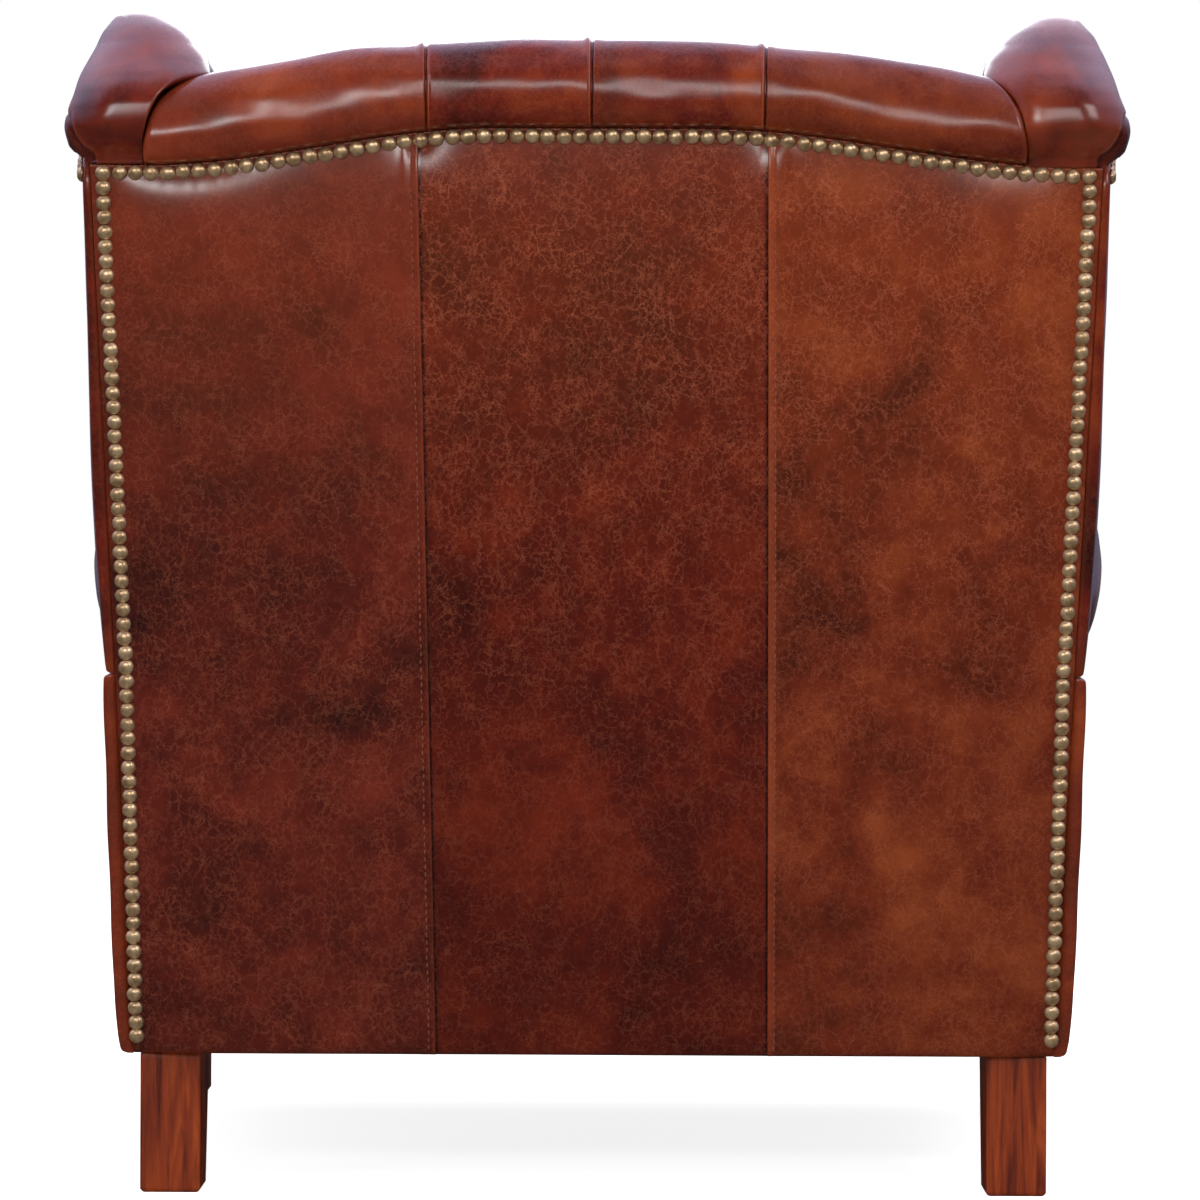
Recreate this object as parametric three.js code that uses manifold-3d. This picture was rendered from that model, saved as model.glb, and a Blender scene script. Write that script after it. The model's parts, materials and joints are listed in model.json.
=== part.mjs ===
// Wingback armchair in brown pull-up leather, in the pieces that its maker builds it from:
// a hardwood frame, webbing, pads under leather covers, rows of brass nails, wood legs and a
// loose seat cushion. Millimetres, +Z up. The chair faces -Y and stands on z = 0, and its
// sitter's left is +X.
import * as THREE from 'three';
import { mergeVertices } from 'three/addons/utils/BufferGeometryUtils.js';
import Module from 'manifold-3d';

const wasm = await Module();
wasm.setup();

// Driving dimensions: heights above the floor, and drops down from the wings' and the crest's tops
const bodyBottom = 106;
const tuckHeight = 392;
const armHeight = 575;
const wingHeight = 895;
const crestBelowWing = 32;
const crestDrop = 33;
const crestCurl = 2.4;
const nailBelowCrest = 101;
const nailRise = 28;

// Driving dimensions: depths behind the middle of the seat frame, and half widths
const backDepth = 325;
const cushionProud = 39;
const wingFront = 17;
const tailLap = 86;
const wingHalf = 365;
const armBulge = 22;
const armThick = 119;
const armPanelProud = 3;
const armPanelSwell = 5;

// Stance: the body is drawn square, then its sides lean and flare and its back rakes
const leanShare = 0.0473;
const flareShare = 0.0596;
const rakeShare = 0.1171;
const rakeStart = -150;
const rakeEnd = 150;

// Clearance between pieces that touch, and overrun of a cutting tool
const gap = 0.3;
const overrun = 120;

// Sheet and board thicknesses
const leather = 6;
const backPad = 7.4;
const backBoard = 3;
const wrapStep = 3;
const webThick = 2.4;
const coverThick = 2;
const dustThick = 1.2;

// Frame timber
const postWidth = 45;
const rearPostDepth = 60;
const frontPostDepth = 55;
const railThick = 25;
const railHeight = 206;
const railLift = 6;
const frontRailFace = -385;
const wingPly = 20;
const lumbarRail = { thick: 35, tall: 60, lift: 22 };
const armRail = { width: 35, tall: 35, cover: 70 };
const crestRailLap = 30;
const crestRailCover = 12;
const blockLeg = 92;
const blockTall = 60;

// Legs
const rearLeg = { width: 45.5, topDepth: 75, soleDepth: 50 };
const frontLeg = { width: 45, topDepth: 50, soleDepth: 42 };
const rearLegInset = 9;
const rearLegSide = 68.5;
const frontLegProud = 7;
const frontLegSide = 15;
const legChamfer = 2.5;
const legShoulder = 11;

// Seat and cushion
const deckThick = 11;
const cushionEdgeThick = 108;
const cushionThick = 130;
const cushionSideGap = 2.5;
const cushionBackGap = 3;
const cushionCorner = 34;
const cushionPull = 5;

// Inside back
const padFootThick = 130;
const padHeadThick = 17;
const backCrown = 18;
const padBelowCrest = 123;
const tuftPitch = 120;
const tuftRise = 102;
const tuftBelowPad = 28;
const tuftDepth = 16;
const button = { radius: 11, thick: 7 };
const pleatWidth = 9;
const pleatDepth = 3.5;

// Crest and wings
const crestProud = 16.5;
const crestThick = 115;
const crestSide = 52;
const crestDropSide = 65;
const archStart = 70;
const archSide = 45;
const nailLift = 6;
const wingBelowArm = 85;
const wingBulge = 14;
const wingWide = 96;

// Brass nails
const nail = { width: 9.8, dome: 4.5, neck: 3, neckHigh: 1, topPitch: 11.74, sidePitch: 10.75 };
const nailSide = 14.2;
const nailColumnDrift = 6;
const nailColumnLift = 8;
const nailInset = 8;

// Places that follow from the driving dimensions
const armHalf = wingHalf + armBulge;
const armInner = armHalf - armThick;
const wingOuter = wingHalf + wingBulge;
const wingInner = wingOuter - wingWide;
const crestHalf = wingHalf - crestSide;
const crestDropHalf = wingHalf - crestDropSide;
const archEnd = wingHalf - archSide;
const nailColumn = wingHalf - nailSide;
const rearLegInner = wingHalf - rearLegSide;
const frontLegInner = wingHalf - frontLegSide;
const cushionFront = frontRailFace - cushionProud;
const crestHeight = wingHeight - crestBelowWing;
const nailCorner = crestHeight - nailBelowCrest;
const padHead = crestHeight - padBelowCrest;
const tuftTop = padHead - tuftBelowPad;
const frameOuter = wingHalf - leather + gap;
const boardFace = backDepth - backPad - gap;
const postBack = boardFace - backBoard - gap;
const postFront = postBack - rearPostDepth;
const frameBottom = bodyBottom + railLift;
const railTop = frameBottom + railHeight;
const lumbarLow = railTop + lumbarRail.lift;
const webTop = railTop + gap + webThick;
const deckTop = webTop + gap + deckThick;
const seatLevel = deckTop + gap;
const postTop = nailCorner + nailLift;
const frontPostBack = frontRailFace + frontPostDepth;
const postInner = frameOuter - postWidth;
const webFront = postFront - gap - webThick;
const padBack = webFront - gap;
const backFoot = padBack - padFootThick;
const backHead = padBack - padHeadThick;
const armTail = padBack - tailLap;
const backWide = wingInner - 2 * gap;
const armRailTop = armHeight - armRail.cover;
const cushionTop = seatLevel + cushionThick;
const rearLegBack = backDepth - rearLegInset;
const frontLegBack = frontRailFace - frontLegProud + frontLeg.topDepth;
const wingFoot = armHeight - wingBelowArm;
const plyInner = frameOuter - wingPly;
const wingDepth = backDepth - wingFront;

const lerp = THREE.MathUtils.lerp;
const clamp = THREE.MathUtils.clamp;
const smoothstep = THREE.MathUtils.smoothstep;

// Small geometry tools

function settlePoint(point) {
  const raking = clamp((point.y - rakeStart) / (rakeEnd - rakeStart), 0, 1);
  point.y += rakeShare * (point.z - bodyBottom) * raking;
  const lean = leanShare * (point.z - tuckHeight);
  const flare = flareShare * (backDepth - point.y);
  point.x *= 1 + (lean + flare) / wingHalf;
  return point;
}

function merged(geometry) {
  geometry.deleteAttribute('normal');
  geometry.deleteAttribute('uv');
  return mergeVertices(geometry);
}

function settled(geometry) {
  const solid = merged(geometry);
  const place = solid.getAttribute('position');
  const point = new THREE.Vector3();
  for (let i = 0; i < place.count; i += 1) {
    settlePoint(point.fromBufferAttribute(place, i));
    place.setXYZ(i, point.x, point.y, point.z);
  }
  return solid;
}

function mirrored(geometry) {
  const solid = merged(geometry.clone()).scale(-1, 1, 1);
  const index = solid.getIndex();
  for (let i = 0; i < index.count; i += 3) {
    const first = index.getX(i);
    index.setX(i, index.getX(i + 1));
    index.setX(i + 1, first);
  }
  return solid;
}

function block(x0, x1, y0, y1, z0, z1, grow = 0) {
  const size = [x1 - x0, y1 - y0, z1 - z0].map((length) => length + 2 * grow);
  const box = new THREE.BoxGeometry(...size);
  return box.translate((x0 + x1) / 2, (y0 + y1) / 2, (z0 + z1) / 2);
}

function extruded(outline, depth) {
  const shape = new THREE.Shape(outline.map(([u, v]) => new THREE.Vector2(u, v)));
  return new THREE.ExtrudeGeometry(shape, { depth, bevelEnabled: false });
}

// Outline in x and z, from y0 back to y1
function prismBack(outline, y0, y1) {
  return extruded(outline, y1 - y0).rotateX(Math.PI / 2).translate(0, y1, 0);
}

// Outline in y and z, from x0 out to x1
function prismAcross(outline, x0, x1) {
  const turn = new THREE.Matrix4().set(0, 0, 1, x0, 1, 0, 0, 0, 0, 1, 0, 0, 0, 0, 0, 1);
  return extruded(outline, x1 - x0).applyMatrix4(turn);
}

// Outline in x and y, from z0 up to z1
function prismUp(outline, z0, z1) {
  return extruded(outline, z1 - z0).translate(0, 0, z0);
}

// Each corner moved out along the mean of its two edges' normals
function grownOutline(outline, grow) {
  const count = outline.length;
  const points = outline.map(([u, v]) => new THREE.Vector2(u, v));
  const turn = Math.sign(THREE.ShapeUtils.area(points)) * grow;
  return points.map((point, i) => {
    const before = point.clone().sub(points[(i + count - 1) % count]).normalize();
    const after = points[(i + 1) % count].clone().sub(point).normalize();
    const normal = new THREE.Vector2(before.y + after.y, -before.x - after.x);
    const reach = 2 / normal.lengthSq();
    return [point.x + normal.x * reach * turn, point.y + normal.y * reach * turn];
  });
}

function signedVolume(points, faces) {
  const cross = new THREE.Vector3();
  return faces.reduce((sum, [a, b, c]) => {
    return sum + cross.crossVectors(points[b], points[c]).dot(points[a]);
  }, 0);
}

function geometryFrom(points, faces) {
  const out = signedVolume(points, faces) > 0;
  const order = faces.flatMap(([a, b, c]) => (out ? [a, b, c] : [a, c, b]));
  const geometry = new THREE.BufferGeometry();
  const place = new Float32Array(points.flatMap((point) => point.toArray()));
  geometry.setAttribute('position', new THREE.BufferAttribute(place, 3));
  geometry.setIndex(order);
  return geometry;
}

// Rings of equal count joined by quads. flat(point) gives the rings' own plane for the end caps;
// convex rings need none
function loft(rings, flat) {
  const count = rings[0].length;
  const points = rings.flat();
  const faces = [];
  for (let r = 0; r < rings.length - 1; r += 1) {
    for (let i = 0; i < count; i += 1) {
      const next = (i + 1) % count;
      const [a, b] = [r * count + i, r * count + next];
      faces.push([a, b, b + count], [a, b + count, a + count]);
    }
  }
  const last = (rings.length - 1) * count;
  capFaces(rings[0], flat).forEach(([a, b, c]) => faces.push([a, c, b]));
  const cap = capFaces(rings[rings.length - 1], flat);
  cap.forEach(([a, b, c]) => faces.push([last + a, last + b, last + c]));
  return geometryFrom(points, faces);
}

// Triangles over a ring, all turning the same way as the ring runs
function capFaces(ring, flat) {
  if (!flat) return ring.slice(2).map((_, i) => [0, i + 1, i + 2]);
  const outline = ring.map(flat);
  const turn = THREE.ShapeUtils.area(outline) > 0;
  return THREE.ShapeUtils.triangulateShape(outline, []).map(([a, b, c]) => {
    const same = THREE.ShapeUtils.area([a, b, c].map((i) => outline[i])) > 0 === turn;
    return same ? [a, b, c] : [a, c, b];
  });
}

function manifoldOf(geometry) {
  const solid = merged(geometry.clone());
  const vertProperties = new Float32Array(solid.getAttribute('position').array);
  const triVerts = new Uint32Array(solid.getIndex().array);
  return new wasm.Manifold(new wasm.Mesh({ numProp: 3, vertProperties, triVerts }));
}

function geometryOf(solid) {
  const mesh = solid.getMesh();
  const geometry = new THREE.BufferGeometry();
  geometry.setAttribute('position', new THREE.BufferAttribute(mesh.vertProperties, 3));
  geometry.setIndex([...mesh.triVerts]);
  return geometry;
}

function cut(geometry, tools) {
  return geometryOf(tools.reduce((solid, tool) => solid.subtract(manifoldOf(tool)), manifoldOf(geometry)));
}

function joined(geometries) {
  const [first, ...rest] = geometries.map(manifoldOf);
  return geometryOf(rest.reduce((solid, other) => solid.add(other), first));
}

// Lines of the back: the arched nail row, the crest above it and the inside back

function nailLine(x) {
  return nailCorner + nailRise * (1 - smoothstep(Math.abs(x), archStart, archEnd));
}

function crestLine(x) {
  return crestHeight - crestDrop * Math.abs(x / crestDropHalf) ** crestCurl;
}

// Pillow height of the tufts, 1 in a diamond's middle and 0 along its creases and pleats
function pillow(x, z) {
  const across = x / tuftPitch;
  const down = clamp((tuftTop - z) / tuftRise, 0, 2) / 2;
  const p = Math.abs(Math.sin(Math.PI * (across + down)));
  const q = Math.abs(Math.sin(Math.PI * (across - down)));
  return Math.sqrt(p * q);
}

function backFront(x, z) {
  const climb = (z - seatLevel) / (crestHeight - seatLevel);
  const base = lerp(backFoot, backHead, climb);
  const sides = 1 - (x / backWide) ** 2;
  const crown = backCrown * Math.sin(Math.PI * clamp(climb, 0, 1)) * Math.max(sides, 0);
  const tufted = 1 - smoothstep(Math.abs(x), 1.6 * tuftPitch, 2.1 * tuftPitch);
  const below = smoothstep(z, seatLevel, tuftTop - 2 * tuftRise);
  return base - crown + tuftDepth * tufted * below * (1 - pillow(x, z));
}

// Frame

const legTop = frameBottom - gap;
const stations = [];
for (let x = -crestHalf; x < crestHalf + gap; x += crestHalf / 16) {
  stations.push(x);
}

function rearPost(grow = 0) {
  return block(postInner, frameOuter, postFront, postBack, frameBottom, postTop, grow);
}

function frontPost(grow = 0) {
  return block(postInner, frameOuter, frontRailFace, frontPostBack, frameBottom, armRailTop, grow);
}

function sideRail() {
  const [front, back] = [frontPostBack + gap, postFront - gap];
  return block(frameOuter - railThick, frameOuter, front, back, frameBottom, railTop);
}

function crossRail(front, back, low, high) {
  return block(gap - postInner, postInner - gap, front, back, low, high);
}

function armRailBar(grow = 0) {
  const outer = plyInner - gap;
  const [front, back] = [frontPostBack + gap, postFront - gap];
  const inner = outer - armRail.width;
  return block(inner, outer, front, back, armRailTop - armRail.tall, armRailTop, grow);
}

function crestRail() {
  const ends = postInner - gap;
  const top = stations
    .map((x) => clamp(x, -ends, ends))
    .map((x) => [x, nailLine(x) + crestRailCover]);
  const low = padHead - crestRailLap;
  return prismBack([[ends, low], ...top.reverse(), [-ends, low]], postFront, postBack);
}

// Corner block with its corner notched round the post; side is 1 behind and -1 in front
function cornerBlock(side) {
  const [postFace, railFace] = side > 0
    ? [postFront - gap, postBack - railThick - gap]
    : [frontPostBack + gap, frontRailFace + railThick + gap];
  const [outer, inner] = [frameOuter - railThick - gap, postInner - gap];
  const outline = [
    [outer, postFace - side * blockLeg],
    [outer, postFace],
    [inner, postFace],
    [inner, railFace],
    [inner - blockLeg, railFace],
  ];
  return prismUp(outline, frameBottom, frameBottom + blockTall);
}

const cornerShare = 0.6716;
// Depth from the wing's front and height from its foot, as shares of the wing's depth and height
const plyShares = [
  [0.964, 0.765], [0.854, 0.79], [0.692, 0.825], [0.497, 0.84], [0.302, 0.825], [0.146, 0.761],
  [0.123, 0.611], [0.192, 0.461], [0.295, 0.324], [0.367, 0.212],
];
const panelShares = [
  [0.886, 0.723], [0.724, 0.781], [0.562, 0.81], [0.399, 0.803], [0.269, 0.761], [0.198, 0.678],
  [0.198, 0.579], [0.256, 0.454], [0.341, 0.354], [0.432, 0.279],
];

// The corner of the nails lies at its own share of the wing's height, whatever the wing's height
function wingLevel(share) {
  if (share < cornerShare) return lerp(wingFoot, nailCorner, share / cornerShare);
  return lerp(nailCorner, wingHeight, (share - cornerShare) / (1 - cornerShare));
}

function wingPoints(shares) {
  return shares.map(([deep, high]) => [wingFront + deep * wingDepth, wingLevel(high)]);
}

function plyOutline() {
  const curve = wingPoints(plyShares);
  const [rear] = curve[0];
  const [front] = curve[curve.length - 1];
  const back = postFront - gap;
  const [low, high] = [railTop + gap, postTop + gap];
  return [[front, low], [back, low], [back, high], [rear, high], ...curve];
}

function wingPly3d(grow = 0) {
  const outline = grow ? grownOutline(plyOutline(), grow) : plyOutline();
  return prismAcross(outline, plyInner - grow, frameOuter + grow);
}

// Legs: square blocks that narrow in depth to a chamfered sole, shouldered where they enter the skirt

function legRing(leg, { inner, back }, z, depth, inset) {
  const [x0, x1] = [inner + inset, inner + leg.width - inset];
  const [y0, y1] = [back - depth + inset, back - inset];
  const corners = [[x0, y0], [x1, y0], [x1, y1], [x0, y1]];
  return corners.map(([x, y]) => new THREE.Vector3(x, y, z));
}

function legSolid(leg, place) {
  const rings = [
    legRing(leg, place, 0, leg.soleDepth, legChamfer),
    legRing(leg, place, legChamfer, leg.soleDepth, 0),
    legRing(leg, place, bodyBottom - gap, leg.topDepth, 0),
    legRing(leg, place, bodyBottom - gap, leg.topDepth, legShoulder),
    legRing(leg, place, legTop, leg.topDepth, legShoulder),
  ];
  return loft(rings, (point) => new THREE.Vector2(point.x, point.y));
}

// Suspension: straps woven at one level, shown joined where they cross

const seatStraps = {
  width: 60,
  alongShares: [-0.78, -0.39, 0, 0.39, 0.78],
  acrossShares: [0.14, 0.38, 0.62, 0.86],
};
const backStraps = { width: 50, uprightShares: [-0.6, 0, 0.6], levelShares: [0.08, 0.58, 0.81] };

function seatWebbing() {
  const [low, high] = [railTop + gap, webTop];
  const half = seatStraps.width / 2;
  const [front, back] = [frontRailFace + gap, postBack - gap];
  const room = postInner - gap - half;
  const along = seatStraps.alongShares.map((share) => {
    return block(share * room - half, share * room + half, front, back, low, high);
  });
  const [nearest, farthest] = [frontPostBack, wingPoints(plyShares).pop()[0]];
  const reach = frameOuter - gap;
  const across = seatStraps.acrossShares.map((share) => {
    const y = lerp(nearest, farthest, share);
    return block(-reach, reach, y - half, y + half, low, high);
  });
  return joined([...along, ...across]);
}

function backWebbing() {
  const half = backStraps.width / 2;
  const [front, back] = [webFront, postFront - gap];
  const room = postInner - half;
  const [low, high] = [lumbarLow, padHead - half];
  const upright = backStraps.uprightShares.map((share) => {
    return block(share * room - half, share * room + half, front, back, low, high);
  });
  const reach = postInner + postWidth / 2 - gap;
  const level = backStraps.levelShares.map((share) => {
    const z = lerp(low, high, share);
    return block(-reach, reach, front, back, z - half, z + half);
  });
  return joined([...upright, ...level]);
}

// Arms: one section, carried from the arm front to its tail, where its outer side draws in

// Width from the inner face, as a share of the arm's width, and height below the arm's top, as a
// share of the way from the deck inside and from the tuck outside
const armInnerShares = [
  [0.03, 0], [0.01, 0.2], [0, 0.42], [0.01, 0.62], [0.06, 0.78], [0.18, 0.91], [0.34, 0.98],
];
const armOuterShares = [
  [0.54, 1], [0.74, 0.934], [0.89, 0.761], [0.98, 0.549], [1, 0.39], [0.985, 0.244], [0.92, 0.098],
];
const tailShares = [[0, 1], [0.55, 1], [0.75, 0.97], [0.88, 0.88], [0.96, 0.76], [1, 0.62]];

function armSection(drawn, grow) {
  const wide = armHalf - armInner;
  const inner = frameOuter - railThick - gap;
  const underside = tuckHeight + wrapStep;
  const side = (shares, low) => {
    return shares.map(([across, up]) => [armInner + across * wide, lerp(low, armHeight, up)]);
  };
  const outline = [
    ...side(armInnerShares, seatLevel),
    ...side(armOuterShares, underside),
    [frameOuter, underside],
    [inner, underside],
    [inner, seatLevel],
  ].map(([x, z]) => [x > inner ? inner + (x - inner) * drawn : x, z]);
  return grow ? grownOutline(outline, grow) : outline;
}

function armRoll(grow = 0) {
  const length = armTail - frontRailFace;
  const rings = tailShares.map(([along, drawn], i) => {
    const end = i === 0 ? -grow : (i === tailShares.length - 1) * grow;
    const y = frontRailFace + along * length + end;
    return armSection(drawn, grow).map(([x, z]) => new THREE.Vector3(x, y, z));
  });
  return loft(rings, (point) => new THREE.Vector2(point.x, point.z));
}

function armPad() {
  return cut(armRoll(), [armRailBar(gap), frontPost(gap), wingPly3d(gap)]);
}

function armFront() {
  const section = armSection(1, 0).slice(0, armInnerShares.length + armOuterShares.length);
  const outer = wingHalf + armPanelProud;
  const [inner] = section[0];
  const outline = [[inner, bodyBottom], ...section, [outer, tuckHeight], [outer, bodyBottom]];
  const face = frontRailFace - gap;
  return prismBack(outline, face - 2 * leather, face);
}

// Wings: rings at rising heights, with rounded corners, cut to fit over frame, arm and crest

// Height, front, rear, inner and outer side, as shares of the wing's height, depth and width
const wingShares = [
  [0, 0.32, 1.04, 0, 0.82], [0.2, 0.29, 1.04, 0, 0.83], [0.3, 0.24, 1.03, 0, 0.86],
  [0.4, 0.16, 1.02, 0, 0.9], [0.524, 0.075, 1.01, 0, 0.94], [0.63, 0.022, 1.005, 0, 0.955],
  [0.7, 0, 1.006, 0, 0.92], [0.725, 0, 1.04, 0, 0.96], [0.756, 0.003, 1.058, 0, 0.985],
  [0.81, 0.015, 1.045, 0, 0.92], [0.848, 0.035, 1.0, 0, 0.86], [0.887, 0.06, 0.93, 0, 0.8],
  [0.92, 0.1, 0.87, 0.01, 0.745], [0.945, 0.15, 0.82, 0.07, 0.705], [0.962, 0.2, 0.78, 0.145, 0.67],
  [0.981, 0.28, 0.72, 0.285, 0.635], [0.992, 0.36, 0.66, 0.39, 0.6], [1, 0.45, 0.6, 0.45, 0.55],
];
const wingRound = 36;
const cornerSteps = 4;

function roundedRing(x0, x1, y0, y1, z, round) {
  const radius = Math.min(round, (x1 - x0) / 2.1, (y1 - y0) / 2.1);
  const centres = [
    [x1 - radius, y1 - radius], [x0 + radius, y1 - radius],
    [x0 + radius, y0 + radius], [x1 - radius, y0 + radius],
  ];
  return centres.flatMap(([x, y], quarter) => {
    return Array.from({ length: cornerSteps + 1 }, (_, i) => {
      const angle = (quarter + i / cornerSteps) * (Math.PI / 2);
      return new THREE.Vector3(x + radius * Math.cos(angle), y + radius * Math.sin(angle), z);
    });
  });
}

function wingForm() {
  const rings = wingShares.map(([high, front, rear, inner, outer]) => {
    const [x0, x1] = [wingInner + inner * wingWide, wingInner + outer * wingWide];
    const [y0, y1] = [wingFront + front * wingDepth, wingFront + rear * wingDepth];
    return roundedRing(x0, x1, y0, y1, wingLevel(high), wingRound);
  });
  return loft(rings, (point) => new THREE.Vector2(point.x, point.y));
}

function wingPanelOutline() {
  const rear = backDepth - wrapStep;
  const tail = armTail + gap;
  const head = nailCorner + nailLift - 2 * gap;
  return [
    [rear, tuckHeight + gap],
    [rear, head],
    ...wingPoints(panelShares),
    [tail, armHeight],
    [tail, tuckHeight + gap],
  ];
}

// Seam between crest and wing: sideways place and height, as shares of the crest's half and height
const seamShares = [[1, 0], [1, 0.3], [0.99, 0.45], [0.965, 0.61], [0.925, 0.73], [0.895, 0.83]];

function seamCurve(grow = 0) {
  const tall = crestHeight - padHead;
  return seamShares.map(([across, up]) => [across * crestHalf + grow, padHead + up * tall]);
}

function wingPad() {
  const seam = seamCurve(gap);
  const seamTop = seam[seam.length - 1][1];
  const crestFace = backFront(wingInner, padHead - gap) - gap;
  const seamOutline = [[0, padHead - gap], [seam[0][0], padHead - gap], ...seam, [0, seamTop]];
  const tools = [
    armRoll(gap),
    armRailBar(gap),
    wingPly3d(gap),
    prismAcross(grownOutline(wingPanelOutline(), gap), frameOuter, frameOuter + overrun),
    block(0, wingOuter + overrun, padBack, backDepth + overrun, bodyBottom, postTop + gap),
    prismBack(seamOutline, crestFace, backDepth + overrun),
  ];
  return cut(wingForm(), tools);
}

function outsideWing() {
  return prismAcross(wingPanelOutline(), frameOuter + gap, wingHalf);
}

// Height up the panel and swell of its face, as shares, from its foot to the tuck under the arm
const armPanelShares = [
  [0, 0.34], [0.05, 0.6], [0.14, 0.9], [0.3, 0.8], [0.6, 0.55], [0.85, 0.35], [0.96, 0.1], [1, 0],
];

function outsideArm() {
  const [front, back] = [frontRailFace, backDepth - wrapStep];
  const inner = frameOuter + gap;
  const face = armPanelShares.map(([up, out]) => {
    return [wingHalf + armPanelProud + out * armPanelSwell, lerp(bodyBottom, tuckHeight, up)];
  });
  return prismBack([[inner, bodyBottom], ...face, [inner, tuckHeight]], front, back);
}

// Back: crest roll, inside back with its tufts, backing board and three outside panels

// Proud of the back face and height up the roll, as shares, from its foot to its rear shoulder
const rollRearShares = [
  [0.06, 0], [0.62, 0.04], [0.93, 0.18], [1, 0.4], [0.9, 0.64], [0.62, 0.84], [0.18, 0.965],
];
// Depth forward of the back face and height up the roll, as shares, over its top to the front
const rollFrontShares = [[0.22, 1], [0.48, 0.985], [0.72, 0.9], [0.87, 0.75]];
const pleats = [-tuftPitch, 0, tuftPitch];

function crestStations() {
  const folds = pleats.flatMap((x) => [x - pleatWidth / 2, x, x + pleatWidth / 2]);
  const clear = stations.filter((x) => pleats.every((fold) => Math.abs(x - fold) > pleatWidth));
  return [...clear, ...folds].sort((a, b) => a - b);
}

function crestRing(x) {
  const foot = nailLine(x) + nailLift + gap;
  const tall = crestLine(x) - foot;
  const dip = pleats.some((fold) => Math.abs(x - fold) < gap) ? pleatDepth : 0;
  const rear = rollRearShares.map(([out, up]) => {
    return [backDepth + out * crestProud - dip, foot + up * tall];
  });
  const front = rollFrontShares.map(([deep, up]) => {
    return [backDepth - deep * crestThick + dip * deep, foot + up * tall - dip];
  });
  const shoulder = foot + tall / 2;
  const railHigh = nailLine(x) + crestRailCover + 2 * gap;
  const outline = [
    ...rear,
    ...front,
    [backFront(x, shoulder), shoulder],
    [backFront(x, padHead), padHead],
    [postFront - gap, padHead],
    [postFront - gap, railHigh],
    [postBack + gap, railHigh],
    [postBack + gap, foot],
  ];
  return outline.map(([y, z]) => new THREE.Vector3(x, y, z));
}

function crestRoll() {
  const roll = loft(crestStations().map(crestRing), (point) => new THREE.Vector2(point.y, point.z));
  const seam = seamCurve();
  const [low, high] = [padHead - gap, crestHeight];
  const far = crestHalf + overrun;
  const outside = [...seam, [seam[seam.length - 1][0], high], [far, high], [far, low]];
  const tool = prismBack(outside, postFront - overrun, backDepth + overrun);
  return cut(roll, [tool, mirrored(tool)]);
}

const padColumns = 24;
const padRows = 12;

// Front grid that follows the tufts, joined to a plain rear face of the same outline
function insideBack() {
  const narrow = armInner - 2 * gap;
  const low = seatLevel;
  const high = padHead - gap;
  const ledge = armHeight + gap;
  const ringOf = (z) => {
    const half = z > ledge ? backWide : narrow;
    const front = Array.from({ length: padColumns + 1 }, (_, i) => {
      const x = lerp(-half, half, i / padColumns);
      return new THREE.Vector3(x, backFront(x, z), z);
    });
    return [...front, new THREE.Vector3(half, padBack, z), new THREE.Vector3(-half, padBack, z)];
  };
  const levels = Array.from({ length: padRows + 1 }, (_, j) => lerp(low, high, j / padRows));
  const near = levels.filter((z) => Math.abs(z - ledge) > leather);
  const rings = [...near, ledge, ledge + leather].sort((a, b) => a - b).map(ringOf);
  const pad = loft(rings, (point) => new THREE.Vector2(point.x, point.y));
  return cut(pad, buttonPlaces().map((place) => buttonSolid(place, gap)));
}

function buttonPlaces() {
  return [0, 1, 2].flatMap((row) => {
    const count = 3 + (row % 2);
    const z = tuftTop - row * tuftRise;
    return Array.from({ length: count }, (_, i) => {
      const x = (i - (count - 1) / 2) * tuftPitch;
      return { x, y: backFront(x, z), z };
    });
  });
}

function buttonSolid({ x, y, z }, grow = 0) {
  const { radius, thick } = button;
  const profile = [
    [0, -grow], [radius + grow, -grow], [radius + grow, thick / 2 + grow],
    [radius * 0.6 + grow, thick + grow], [0, thick + grow],
  ].map(([r, up]) => new THREE.Vector2(r, up));
  const dome = new THREE.LatheGeometry(profile, 10);
  return dome.rotateX(Math.PI).translate(x, y, z);
}

function backPanelTop(x0, x1) {
  const inside = stations.filter((x) => x > x0 + 1 && x < x1 - 1);
  return [x0, ...inside, x1].map((x) => [x, nailLine(x) + nailLift]);
}

// Seams of the outside back: distance from the middle at the foot and at the top
const seamRight = { foot: 136, top: 121.5 };
const seamLeft = { foot: 123, top: 126.5 };

function outsidePanel(left, right) {
  const low = bodyBottom;
  const top = backPanelTop(left.top, right.top).reverse();
  const outline = [[left.foot, low], [right.foot, low], ...top];
  return prismBack(outline, boardFace + gap, backDepth);
}

function backingBoard() {
  const half = frameOuter - gap;
  const top = backPanelTop(-half, half).map(([x, z]) => [x, z - nailLift / 2]).reverse();
  const low = frameBottom;
  return prismBack([[-half, low], [half, low], ...top], boardFace - backBoard, boardFace);
}

// Seat: deck, front border, dust cover and the loose cushion

function seatDeck() {
  const half = postInner - 2 * gap;
  return block(-half, half, frontRailFace, padBack, webTop + gap, deckTop);
}

const borderShares = [[0, 0], [0.75, 0], [1, 0.06], [1, 0.9], [0.8, 0.97], [0.4, 1], [0, 1]];

function frontBorder() {
  const half = armInner + armInnerShares[0][0] * (armHalf - armInner) - gap;
  const face = frontRailFace - gap;
  const [thick, tall] = [3 * leather, deckTop - bodyBottom];
  const outline = borderShares.map(([out, up]) => [face - out * thick, bodyBottom + up * tall]);
  return prismAcross(outline, -half, half);
}

const notchRoom = 10;
const frontLegFlare = 34;

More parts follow.
